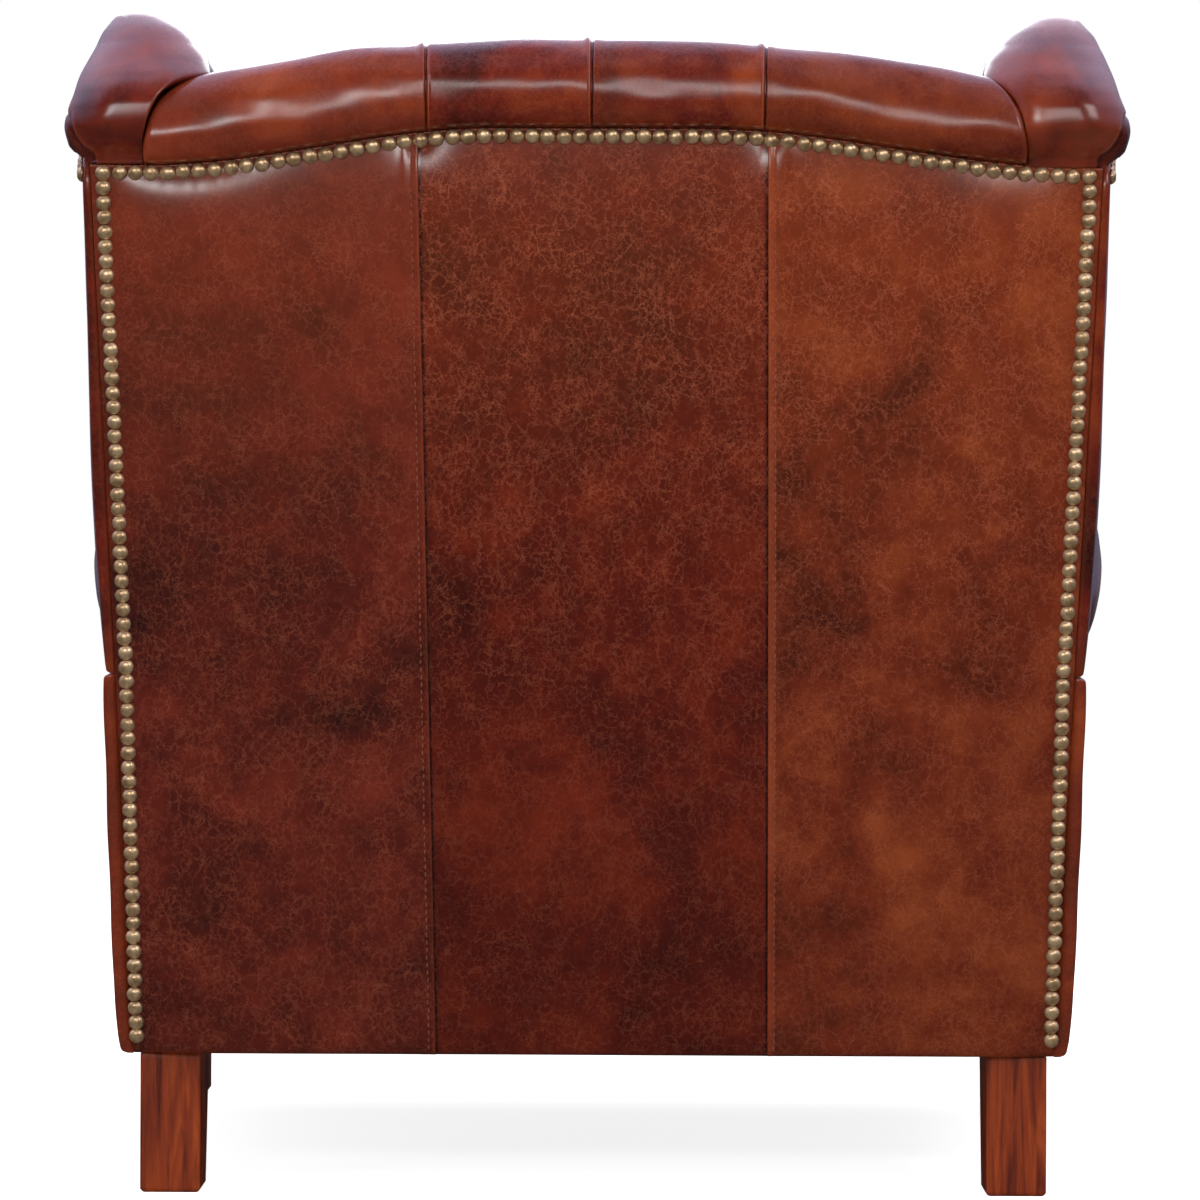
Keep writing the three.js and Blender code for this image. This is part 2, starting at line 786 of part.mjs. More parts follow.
function dustCover() {
  const half = frameOuter - railThick / 2;
  const [front, back] = [frontRailFace + railThick / 2, postBack - railThick / 2];
  const [rearX, rearY] = [rearLegInner - gap, rearLegBack - rearLeg.topDepth - notchRoom];
  const [frontX, frontY] = [frontLegInner - frontLegFlare, frontLegBack + notchRoom];
  const right = [
    [frontX, front], [frontX, frontY], [half, frontY], [half, rearY], [rearX, rearY], [rearX, back],
  ];
  const left = right.map(([x, y]) => [-x, y]).reverse();
  return prismUp([...right, ...left], legTop - dustThick, legTop);
}

// Height of each ring up the cushion, and its inset as a share of the cushion's lesser half
const cushionShares = [
  [0, 0.1], [0.05, 0.03], [0.18, 0.006], [0.42, 0], [0.66, 0.006], [0.8, 0.03], [0.88, 0.11],
  [0.945, 0.3], [0.985, 0.55], [1, 0.8],
];
const edgeSteps = 4;

function cushionRing(level, insetShare, inset) {
  const half = armInner - cushionSideGap;
  const back = backFoot - cushionBackGap;
  const middle = (cushionFront + back) / 2;
  const deep = (back - cushionFront) / 2;
  const inward = insetShare * Math.min(half, deep) + inset;
  const [wide, long] = [half - inward, deep - inward];
  const corner = Math.min(cushionCorner, wide / 2);
  const ring = roundedRing(-wide, wide, middle - long, middle + long, level, corner);
  return ring.flatMap((point, i) => {
    const next = ring[(i + 1) % ring.length];
    if ((i + 1) % (cornerSteps + 1)) return [point];
    const sideways = Math.abs(point.x - next.x) < Math.abs(point.y - next.y);
    const edge = Array.from({ length: edgeSteps }, (_, k) => {
      const along = (k + 1) / (edgeSteps + 1);
      const pull = cushionPull * Math.sin(Math.PI * along);
      const spot = point.clone().lerp(next, along);
      if (sideways) spot.x -= Math.sign(spot.x) * pull;
      else spot.y -= Math.sign(spot.y - middle) * pull;
      return spot;
    });
    return [point, ...edge];
  });
}

function cushionForm(inset) {
  const [low, high] = [seatLevel + inset, cushionTop - inset];
  const rings = cushionShares.map(([up, share]) => cushionRing(lerp(low, high, up), share, inset));
  return loft(rings, (point) => new THREE.Vector2(point.x, point.y));
}

const zipLengthShare = 0.7;
const zipWidth = 8;

function cushionCover() {
  const half = (armInner - cushionSideGap) * zipLengthShare;
  const back = backFoot - cushionBackGap;
  const level = seatLevel + cushionEdgeThick / 2;
  const [low, high] = [level - zipWidth / 2, level + zipWidth / 2];
  const zip = block(-half, half, back - cushionCorner, back + cushionCorner, low, high);
  return cut(cushionForm(0), [cushionForm(coverThick), zip]);
}

function cushionCore() {
  return cushionForm(coverThick + gap);
}

// Brass nails: domes in a row on one thin strip, laid on a leather face

function nailRow(path, normal, pitch) {
  const curve = new THREE.CatmullRomCurve3(path.map(settlePoint), false, 'centripetal');
  curve.arcLengthDivisions = 400;
  const count = Math.round(curve.getLength() / pitch);
  const { width, dome, neck, neckHigh } = nail;
  const ring = (share, wide, high) => {
    const centre = curve.getPointAt(share);
    const side = curve.getTangentAt(share).cross(normal).normalize();
    const up = normal.clone();
    return [[-0.5, 0], [0.5, 0], [0.28, 1], [-0.28, 1]].map(([across, rise]) => {
      const spot = centre.clone().addScaledVector(side, across * wide);
      return spot.addScaledVector(up, rise * high);
    });
  };
  const rings = [ring(0, neck, neckHigh)];
  for (let i = 0; i < count; i += 1) {
    rings.push(ring((i + 0.25) / count, width, dome));
    rings.push(ring((i + 0.75) / count, width, dome));
    rings.push(ring((i + 1) / count, neck, neckHigh));
  }
  return loft(rings);
}

const backNormal = new THREE.Vector3(0, 1, -rakeShare).normalize();
const sideNormal = new THREE.Vector3(1, flareShare, -leanShare).normalize();

function topNails() {
  const half = nailColumn + nail.width / 2;
  const steps = 40;
  const path = Array.from({ length: steps + 1 }, (_, i) => {
    const x = lerp(half, -half, i / steps);
    return new THREE.Vector3(x, backDepth + gap, nailLine(x));
  });
  return nailRow(path, backNormal, nail.topPitch);
}

function columnNails() {
  const high = nailCorner - nail.width / 2 - 2 * gap;
  const tuck = new THREE.Vector3(nailColumn, backDepth + gap, tuckHeight);
  const low = bodyBottom + nailColumnLift;
  const foot = new THREE.Vector3(nailColumn + nailColumnDrift, backDepth + gap, low);
  const head = tuck.clone().setZ(high);
  const middle = head.clone().lerp(tuck, 0.5);
  return nailRow([head, middle, tuck, foot], backNormal, nail.sidePitch);
}

// Along the outside wing, just inside the roll's edge, from the back corner to the arm
function wingNails() {
  const outline = grownOutline(wingPanelOutline(), -nailInset);
  const path = outline.slice(1, panelShares.length + 2);
  const places = path.map(([y, z]) => new THREE.Vector3(wingHalf + gap, y, z));
  return nailRow(places, sideNormal, nail.sidePitch);
}

// Materials and the assembled chair

const finish = (color, roughness, metalness = 0) => {
  return new THREE.MeshStandardMaterial({ color, roughness, metalness });
};
const hide = finish('#6d2a17', 0.42);
const hideBack = finish('#74311b', 0.4);
const hideSeat = finish('#7a3219', 0.45);
const beech = finish('#b98b5a', 0.7);
const birchPly = finish('#c9a878', 0.65);
const stainedOak = finish('#7a3c16', 0.5);
const brass = finish('#8f7440', 0.35, 1);
const jute = finish('#a08a63', 0.9);
const felt = finish('#b9b3a6', 0.95);
const blackCloth = finish('#24211f', 0.9);
const foam = finish('#e3d9b8', 0.95);
const board = finish('#9a7d54', 0.85);

const chair = new THREE.Group();

function newGroup() {
  const group = new THREE.Group();
  chair.add(group);
  return group;
}

function addMesh(group, name, geometry, material) {
  const mesh = new THREE.Mesh(geometry, material);
  mesh.name = name;
  group.add(mesh);
  return mesh;
}

function addPiece(group, name, geometry, material) {
  return addMesh(group, name, settled(geometry), material);
}

function addPair(group, name, geometry, material) {
  addPiece(group, `${name}_left`, geometry.clone(), material);
  addPiece(group, `${name}_right`, mirrored(geometry), material);
}

const frame = newGroup();
addPair(frame, 'rear_post', rearPost(), beech);
addPair(frame, 'front_post', frontPost(), beech);
addPair(frame, 'seat_rail_side', sideRail(), beech);
addPair(frame, 'arm_rail', armRailBar(), beech);
addPair(frame, 'wing_frame', wingPly3d(), birchPly);
addPair(frame, 'corner_block_rear', cornerBlock(1), beech);
addPair(frame, 'corner_block_front', cornerBlock(-1), beech);
const rearRail = crossRail(postBack - railThick, postBack, frameBottom, railTop);
addPiece(frame, 'seat_rail_rear', rearRail, beech);
const frontRail = crossRail(frontRailFace, frontRailFace + railThick, frameBottom, railTop);
addPiece(frame, 'seat_rail_front', frontRail, beech);
const lumbarBack = postFront + lumbarRail.thick;
const lumbar = crossRail(postFront, lumbarBack, lumbarLow, lumbarLow + lumbarRail.tall);
addPiece(frame, 'lumbar_rail', lumbar, beech);
addPiece(frame, 'crest_rail', crestRail(), beech);

const legs = newGroup();
const rearSolid = legSolid(rearLeg, { inner: rearLegInner, back: rearLegBack });
const frontSolid = legSolid(frontLeg, { inner: frontLegInner, back: frontLegBack });
[['rear_leg', rearSolid], ['front_leg', frontSolid]].forEach(([name, solid]) => {
  addMesh(legs, `${name}_left`, merged(solid.clone()), stainedOak);
  addMesh(legs, `${name}_right`, mirrored(solid), stainedOak);
});

const suspension = newGroup();
addPiece(suspension, 'seat_webbing', seatWebbing(), jute);
addPiece(suspension, 'back_webbing', backWebbing(), jute);
addPiece(suspension, 'seat_deck', seatDeck(), felt);
addPiece(suspension, 'dust_cover', dustCover(), blackCloth);
addPiece(suspension, 'backing_board', backingBoard(), board);

const covers = newGroup();
const edge = { foot: frameOuter, top: frameOuter };
const farEdge = { foot: -frameOuter, top: -frameOuter };
const rightSeam = { foot: -seamRight.foot, top: -seamRight.top };
const moved = (seam, by) => ({ foot: seam.foot + by, top: seam.top + by });
addPiece(covers, 'outside_back_left', outsidePanel(moved(seamLeft, gap), edge), hideBack);
addPiece(covers, 'outside_back_middle', outsidePanel(rightSeam, seamLeft), hideBack);
addPiece(covers, 'outside_back_right', outsidePanel(farEdge, moved(rightSeam, -gap)), hideBack);
addPiece(covers, 'crest_roll', crestRoll(), hide);
addPiece(covers, 'inside_back', insideBack(), hide);
addPair(covers, 'wing_pad', wingPad(), hide);
addPair(covers, 'outside_wing', outsideWing(), hide);
addPair(covers, 'outside_arm', outsideArm(), hide);
addPair(covers, 'arm_pad', armPad(), hide);
addPair(covers, 'arm_front', armFront(), hide);
addPiece(covers, 'front_border', frontBorder(), hide);
buttonPlaces().forEach((place, i) => {
  const number = String(i + 1).padStart(2, '0');
  addPiece(covers, `back_button_${number}`, buttonSolid(place), hide);
});

const nails = newGroup();
addMesh(nails, 'nail_row_top', topNails(), brass);
addMesh(nails, 'nail_row_left', columnNails(), brass);
addMesh(nails, 'nail_row_right', mirrored(columnNails()), brass);
addMesh(nails, 'nail_row_wing_left', wingNails(), brass);
addMesh(nails, 'nail_row_wing_right', mirrored(wingNails()), brass);

const cushion = newGroup();
addPiece(cushion, 'seat_cushion_cover', cushionCover(), hideSeat);
addPiece(cushion, 'seat_cushion_core', cushionCore(), foam);

// The chair's box is centred over the origin
const box = new THREE.Box3().setFromObject(chair);
const centre = box.getCenter(new THREE.Vector3());
chair.position.set(-centre.x, -centre.y, -box.min.z);
chair.updateMatrixWorld(true);

export default chair;
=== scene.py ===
"""Wingback armchair in pull-up leather: the look of every piece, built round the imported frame.

Shapes are drawn in millimetres on a square body, as the frame's are, and one Stance leans, flares
and rakes them into place. Each class below holds one sub-assembly of the chair.
"""

import json
import logging
import math
from dataclasses import dataclass, field
from enum import Enum

import bpy
import numpy as np
from mathutils import Matrix, Vector


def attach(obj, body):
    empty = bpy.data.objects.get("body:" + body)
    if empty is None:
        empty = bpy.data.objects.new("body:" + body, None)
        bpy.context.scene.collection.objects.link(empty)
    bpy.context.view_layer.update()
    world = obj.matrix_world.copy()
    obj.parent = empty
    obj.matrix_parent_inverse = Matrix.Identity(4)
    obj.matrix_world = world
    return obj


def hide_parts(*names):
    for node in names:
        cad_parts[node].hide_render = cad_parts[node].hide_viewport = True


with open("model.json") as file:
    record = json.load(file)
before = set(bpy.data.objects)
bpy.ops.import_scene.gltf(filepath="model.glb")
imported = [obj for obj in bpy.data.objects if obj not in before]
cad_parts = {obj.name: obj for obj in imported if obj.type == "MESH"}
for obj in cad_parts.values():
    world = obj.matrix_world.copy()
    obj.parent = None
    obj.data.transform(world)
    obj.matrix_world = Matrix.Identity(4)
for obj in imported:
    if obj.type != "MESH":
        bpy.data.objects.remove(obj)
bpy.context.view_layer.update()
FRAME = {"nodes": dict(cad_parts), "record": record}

Material, Tree, Socket = bpy.types.Material, bpy.types.NodeTree, bpy.types.NodeSocket

log = logging.getLogger("wing_chair")

MM = 0.001
GAP = 0.3


class Side(Enum):
    """The sitter's left is +X."""

    LEFT = 1
    RIGHT = -1

    @property
    def word(self) -> str:
        """The side as the node names say it."""
        return self.name.lower()


# Small numeric tools


def smooth(value: np.ndarray, start: float, end: float) -> np.ndarray:
    """Rises from 0 at start to 1 at end as 3t^2 - 2t^3.

    Args:
        value: where to read the step.
        start: value at which it leaves 0.
        end: value at which it reaches 1.

    Returns:
        The step, between 0 and 1.
    """
    t = np.clip((np.asarray(value, float) - start) / (end - start), 0.0, 1.0)
    return t * t * (3.0 - 2.0 * t)


def bell(value: np.ndarray, centre: float, width: float) -> np.ndarray:
    """A bell exp(-((value - centre) / width)^2).

    Args:
        value: where to read it.
        centre: place of its top.
        width: distance at which it has fallen to 1/e.

    Returns:
        The height of the bell, 1 at its top.
    """
    return np.exp(-(((np.asarray(value, float) - centre) / width) ** 2))


def eased(knots: np.ndarray, values: np.ndarray, at: np.ndarray) -> np.ndarray:
    """Cubic through the values with slopes that never overshoot (harmonic mean of both sides).

    Args:
        knots: rising places, shape (k,).
        values: values at the knots, shape (k, ...).
        at: where to read the curve, shape (n,).

    Returns:
        The curve's values, shape (n, ...).
    """
    knots, values = np.asarray(knots, float), np.asarray(values, float)
    shape = (-1,) + (1,) * (values.ndim - 1)
    step = np.diff(knots).reshape(shape)
    slope = np.diff(values, axis=0) / step
    before, after = slope[:-1], slope[1:]
    same = before * after > 0
    mean = np.where(same, 2 * before * after / np.where(same, before + after, 1), 0)
    tangent = np.concatenate([slope[:1], mean, slope[-1:]])
    at = np.clip(np.asarray(at, float), knots[0], knots[-1])
    i = np.clip(np.searchsorted(knots, at, side="right") - 1, 0, len(knots) - 2)
    width = step[i]
    t = ((at - knots[i]).reshape(shape)) / width
    a = (1 + 2 * t) * (1 - t) ** 2 * values[i] + t * (1 - t) ** 2 * width * tangent[i]
    return a + t * t * (3 - 2 * t) * values[i + 1] - t * t * (1 - t) * width * tangent[i + 1]


def rounded_path(points: np.ndarray, count: int, closed: bool = False) -> np.ndarray:
    """Evenly spaced points along a smooth line through the given ones (Catmull-Rom, by chord).

    Args:
        points: places that the line goes through, shape (k, d).
        count: how many points to return.
        closed: whether the line runs back to its start.

    Returns:
        Points along the line, shape (count, d), the start not repeated where it is closed.
    """
    points = np.asarray(points, float)
    if closed:
        points = np.concatenate([points[-2:], points, points[:3]])
    chord = np.linalg.norm(np.diff(points, axis=0), axis=1)
    knots = np.concatenate([[0], np.cumsum(np.maximum(chord, 1e-6) ** 0.5)])
    slope = np.gradient(points, knots, axis=0)
    fine = np.linspace(knots[2], knots[-3], 40 * len(points)) if closed else np.linspace(
        knots[0], knots[-1], 40 * len(points))
    i = np.clip(np.searchsorted(knots, fine, side="right") - 1, 0, len(knots) - 2)
    width = (knots[i + 1] - knots[i])[:, None]
    t = (fine - knots[i])[:, None] / width
    line = (1 + 2 * t) * (1 - t) ** 2 * points[i] + t * (1 - t) ** 2 * width * slope[i]
    line = line + t * t * (3 - 2 * t) * points[i + 1] - t * t * (1 - t) * width * slope[i + 1]
    run = np.concatenate([[0], np.cumsum(np.linalg.norm(np.diff(line, axis=0), axis=1))])
    even = np.linspace(0, run[-1], count, endpoint=not closed)
    return np.stack([np.interp(even, run, line[:, k]) for k in range(line.shape[1])], axis=1)


def waves(points: np.ndarray, size: float, seed: int, octaves: int = 3) -> np.ndarray:
    """Soft uneven waves: a sum of sines in fixed random directions, each octave half as long.

    Args:
        points: places in millimetres, shape (..., 3).
        size: length of the longest wave in millimetres.
        seed: picks the directions and phases.
        octaves: number of wave lengths.

    Returns:
        Values of about -1 to 1, shape (...).
    """
    rng = np.random.default_rng(seed)
    total = np.zeros(points.shape[:-1])
    weight = 0.0
    for octave in range(octaves):
        directions = rng.normal(size=(5, 3))
        directions /= np.linalg.norm(directions, axis=1, keepdims=True)
        phases = rng.uniform(0, math.tau, 5)
        turn = math.tau / (size / 2 ** octave) * (points @ directions.T) + phases
        total += np.sin(turn).sum(axis=-1) / 5 ** 0.5 * 0.5 ** octave
        weight += 0.5 ** octave
    return total / weight


# Meshes


@dataclass
class Surface:
    """Points in metres or millimetres, with four-sided and three-sided faces."""

    points: np.ndarray
    quads: np.ndarray
    tris: np.ndarray = field(default_factory=lambda: np.zeros((0, 3), int))

    def volume(self) -> float:
        """Signed volume, the sum of the pyramids from the origin over every triangle.

        Returns:
            The volume, positive where the faces point outwards.
        """
        tris = np.concatenate([self.quads[:, :3], self.quads[:, [0, 2, 3]], self.tris])
        a, b, c = (self.points[tris[:, k]] for k in range(3))
        return float(np.einsum("ij,ij->i", a, np.cross(b, c)).sum() / 6)

    def outward(self) -> "Surface":
        """Turns the faces outwards.

        Returns:
            The same surface, or one with every face reversed.
        """
        if self.volume() >= 0:
            return self
        return Surface(self.points, self.quads[:, ::-1], self.tris[:, ::-1])

    def repeated(self, origins: np.ndarray, turns: np.ndarray) -> "Surface":
        """Copies of this surface, each turned and set down in its own place.

        Args:
            origins: place of each copy, shape (n, 3).
            turns: columns are each copy's own axes, shape (n, 3, 3).

        Returns:
            One surface that holds all the copies.
        """
        count, size = len(origins), len(self.points)
        points = np.einsum("nij,mj->nmi", turns, self.points) + origins[:, None, :]
        shift = (np.arange(count) * size)[:, None, None]
        quads = (self.quads[None] + shift).reshape(-1, 4)
        tris = (self.tris[None] + shift).reshape(-1, 3)
        return Surface(points.reshape(-1, 3), quads, tris)


def ring_faces(rows: np.ndarray, cols: int) -> np.ndarray:
    """Four-sided faces that join each ring to the next.

    Args:
        rows: numbers of the rings in their order.
        cols: points in each ring.

    Returns:
        Point numbers, shape (faces, 4).
    """
    start, following = rows[:-1, None] * cols, rows[1:, None] * cols
    here, after = np.arange(cols), (np.arange(cols) + 1) % cols
    corners = (start + here, start + after, following + after, following + here)
    return np.stack(corners, -1).reshape(-1, 4)


def wrapped(grid: np.ndarray) -> Surface:
    """A closed skin over rings: rows are rings, columns run round each ring, ends take a fan.

    Args:
        grid: ring points, shape (rows, columns, 3).

    Returns:
        The closed surface.
    """
    rows, cols, _ = grid.shape
    quads = ring_faces(np.arange(rows), cols)
    here, after = np.arange(cols), (np.arange(cols) + 1) % cols
    count = rows * cols
    last = (rows - 1) * cols
    points = np.concatenate([grid.reshape(-1, 3), [grid[0].mean(0)], [grid[-1].mean(0)]])
    low = np.stack([after, here, np.full(cols, count)], -1)
    high = np.stack([last + here, last + after, np.full(cols, count + 1)], -1)
    return Surface(points, quads, np.concatenate([low, high]))


def slab(front: np.ndarray, back: np.ndarray) -> Surface:
    """A closed slab between two grids of the same shape, joined round their edges.

    Args:
        front: outer face, shape (rows, columns, 3).
        back: inner face, shape (rows, columns, 3).

    Returns:
        The closed surface.
    """
    rows, cols, _ = front.shape
    grid = np.concatenate([front, back[:, ::-1]], axis=1)
    wide = 2 * cols
    quads = ring_faces(np.arange(rows), wide)
    i = np.arange(cols - 1)
    low = np.stack([i, wide - 1 - i, wide - 2 - i, i + 1], -1)
    high = (low + (rows - 1) * wide)[:, ::-1]
    return Surface(grid.reshape(-1, 3), np.concatenate([quads, low, high]))


def tube(path: np.ndarray, radius: float, sides: int = 10) -> Surface:
    """A round cord that runs back to its start: each ring stands square to the path.

    Args:
        path: points along the middle, shape (n, 3).
        radius: radius of the cord.
        sides: points round the cord.

    Returns:
        The closed surface.
    """
    along = np.roll(path, -1, 0) - np.roll(path, 1, 0)
    along /= np.linalg.norm(along, axis=1, keepdims=True)
    guide = np.where(np.abs(along[:, 2:]) > 0.9, [0.0, 1.0, 0.0], [0.0, 0.0, 1.0])
    across = np.cross(along, guide)
    across /= np.linalg.norm(across, axis=1, keepdims=True)
    up = np.cross(across, along)
    turn = np.arange(sides) * math.tau / sides
    round_ = across[:, None] * np.cos(turn)[:, None] + up[:, None] * np.sin(turn)[:, None]
    grid = path[:, None] + round_ * radius
    rows = np.append(np.arange(len(path)), 0)
    return Surface(grid.reshape(-1, 3), ring_faces(rows, sides))


def normals_of(grid: np.ndarray) -> np.ndarray:
    """Unit normals of a grid of rings: the cross product of its two directions.

    Args:
        grid: points, shape (rows, columns, 3), where the columns run round each ring.

    Returns:
        Normals, shape (rows, columns, 3).
    """
    down = np.gradient(grid, axis=0)
    across = np.roll(grid, -1, 1) - np.roll(grid, 1, 1)
    normal = np.cross(across, down)
    return normal / np.maximum(np.linalg.norm(normal, axis=-1, keepdims=True), 1e-9)


@dataclass(frozen=True)
class Stance:
    """How the square-drawn body leans, flares and rakes, in millimetres and shares."""

    body_bottom: float = 106.0
    tuck_height: float = 392.0
    back_depth: float = 325.0
    wing_half: float = 365.0
    lean: float = 0.0473
    flare: float = 0.0596
    rake: float = 0.1171
    rake_end: float = 150.0
    shift: float = -0.841

    def place(self, points: np.ndarray) -> np.ndarray:
        """Rakes y by its height, then widens x by its height and depth, and turns it to metres.

        Args:
            points: square-drawn millimetres, shape (..., 3).

        Returns:
            Metres in the frame's own axes, of the same shape.
        """
        x, y, z = np.moveaxis(np.asarray(points, float), -1, 0)
        raking = np.clip((y + self.rake_end) / (2 * self.rake_end), 0, 1)
        y = y + self.rake * (z - self.body_bottom) * raking
        widen = self.lean * (z - self.tuck_height) + self.flare * (self.back_depth - y)
        x = x * (1 + widen / self.wing_half)
        return np.stack([x, y + self.shift, z], -1) * MM


STANCE = Stance()


def add_piece(
    name: str,
    surface: Surface,
    material: Material,
    nodes: tuple = (),
    body: str = "chair",
    tones: np.ndarray | None = None,
) -> bpy.types.Object:
    """Puts a surface in metres into a mesh object on its body, and hides the frame nodes that it
    replaces.

    Args:
        name: the piece's name.
        surface: its points and faces, in metres.
        material: its finish.
        nodes: frame nodes that it replaces.
        body: the body that it rides on.
        tones: tone of each point, -1 darker to 1 lighter, read by the leather; besides the hide's own
            tone it holds painted highlight and shade.

    Returns:
        The new object.
    """
    surface = surface.outward()
    mesh = bpy.data.meshes.new(name)
    mesh.vertices.add(len(surface.points))
    mesh.vertices.foreach_set("co", surface.points.astype(np.float32).ravel())
    corners = np.concatenate([surface.quads.ravel(), surface.tris.ravel()]).astype(np.int32)
    mesh.loops.add(len(corners))
    mesh.loops.foreach_set("vertex_index", corners)
    four, three = len(surface.quads), len(surface.tris)
    starts = np.concatenate([np.arange(four) * 4, four * 4 + np.arange(three) * 3])
    mesh.polygons.add(four + three)
    mesh.polygons.foreach_set("loop_start", starts.astype(np.int32))
    mesh.polygons.foreach_set("use_smooth", np.ones(four + three, bool))
    mesh.update(calc_edges=True)
    mesh.validate()
    if tones is not None:
        layer = mesh.attributes.new("tone", "FLOAT", "POINT")
        values = np.zeros(len(surface.points), np.float32)
        values[: len(tones)] = tones
        layer.data.foreach_set("value", values)
    mesh.materials.append(material)
    piece = bpy.data.objects.new(name, mesh)
    bpy.context.scene.collection.objects.link(piece)
    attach(piece, body)
    if nodes:
        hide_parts(*nodes)
    log.info("%s: %d points", name, len(surface.points))
    return piece


# Materials


def linear(hex_colour: str) -> tuple[float, float, float, float]:
    """Turns an sRGB hex colour into linear light.

    Args:
        hex_colour: colour as #rrggbb.

    Returns:
        Linear red, green, blue and an alpha of 1.
    """
    parts = [int(hex_colour[i : i + 2], 16) / 255 for i in (1, 3, 5)]
    light = [c / 12.92 if c <= 0.04045 else ((c + 0.055) / 1.055) ** 2.4 for c in parts]
    return (*light, 1.0)


def add_node(
    tree: Tree,
    kind: str,
    inputs: dict | None = None,
    stops: list | None = None,
    **settings: object,
) -> bpy.types.Node:
    """Adds one node, with its settings, its values and its links.

    Args:
        tree: the tree it goes into.
        kind: its type name without the ShaderNode prefix.
        inputs: socket name or number, to a value or to the socket that feeds it.
        stops: place and colour of each stop, for a node with a colour ramp.
        settings: the node's own properties.

    Returns:
        The new node.
    """
    new = tree.nodes.new("ShaderNode" + kind)
    for key, value in settings.items():
        setattr(new, key, value)
    if stops:
        elements = new.color_ramp.elements
        while len(elements) < len(stops):
            elements.new(1.0)
        for element, (place, colour) in zip(elements, stops):
            element.position = place
            element.color = linear(colour) if isinstance(colour, str) else (colour,) * 3 + (1.0,)
    for key, value in (inputs or {}).items():
        if isinstance(value, Socket):
            tree.links.new(value, new.inputs[key])
        else:
            new.inputs[key].default_value = value
    return new


def per_metre(millimetres: float) -> float:
    """Texture scale that repeats a pattern once in so many millimetres."""
    return 1000.0 / millimetres


def noise(
    tree: Tree, place: Socket, size_mm: float, detail: float, rough: float = 0.5, bend: float = 0.0,
) -> Socket:
    """Adds a cloud noise.

    Args:
        tree: the tree it goes into.
        place: coordinates.
        size_mm: size of its largest clouds.
        detail: how many finer layers it has.
        rough: strength of each finer layer.
        bend: how far it is distorted.

    Returns:
        Its value, 0 to 1.
    """
    return add_node(tree, "TexNoise", {
        "Vector": place, "Scale": per_metre(size_mm), "Detail": detail, "Roughness": rough,
        "Distortion": bend,
    }).outputs["Fac"]


def painted(tree: Tree, share: Socket, under: Socket, colour: str) -> Socket:
    """Adds one colour over another.

    Args:
        tree: the tree it goes into.
        share: how much of it covers.
        under: the colour below.
        colour: the colour above, as #rrggbb.

    Returns:
        The mixed colour.
    """
    return add_node(tree, "Mix", {0: share, 6: under, 7: linear(colour)}, data_type="RGBA").outputs[2]


def mapped(
    tree: Tree, value: Socket, start: float, end: float, low: float = 0.0, high: float = 1.0,
) -> Socket:
    """Adds a node that maps start to low and end to high, and stays level beyond both.

    Args:
        tree: the tree it goes into.
        value: what it reads.
        start: value that becomes low.
        end: value that becomes high.
        low: result at the start.
        high: result at the end.

    Returns:
        The mapped value.
    """
    inputs = {"Value": value, "From Min": start, "From Max": end, "To Min": low, "To Max": high}
    return add_node(tree, "MapRange", inputs).outputs["Result"]


def new_material(name: str) -> tuple[Material, Tree]:
    """Makes an empty material with nodes.

    Args:
        name: the finish in a maker's words.

    Returns:
        The material and its empty node tree.
    """
    material = bpy.data.materials.new(name)
    material.use_nodes = True
    material.node_tree.nodes.clear()
    return material, material.node_tree


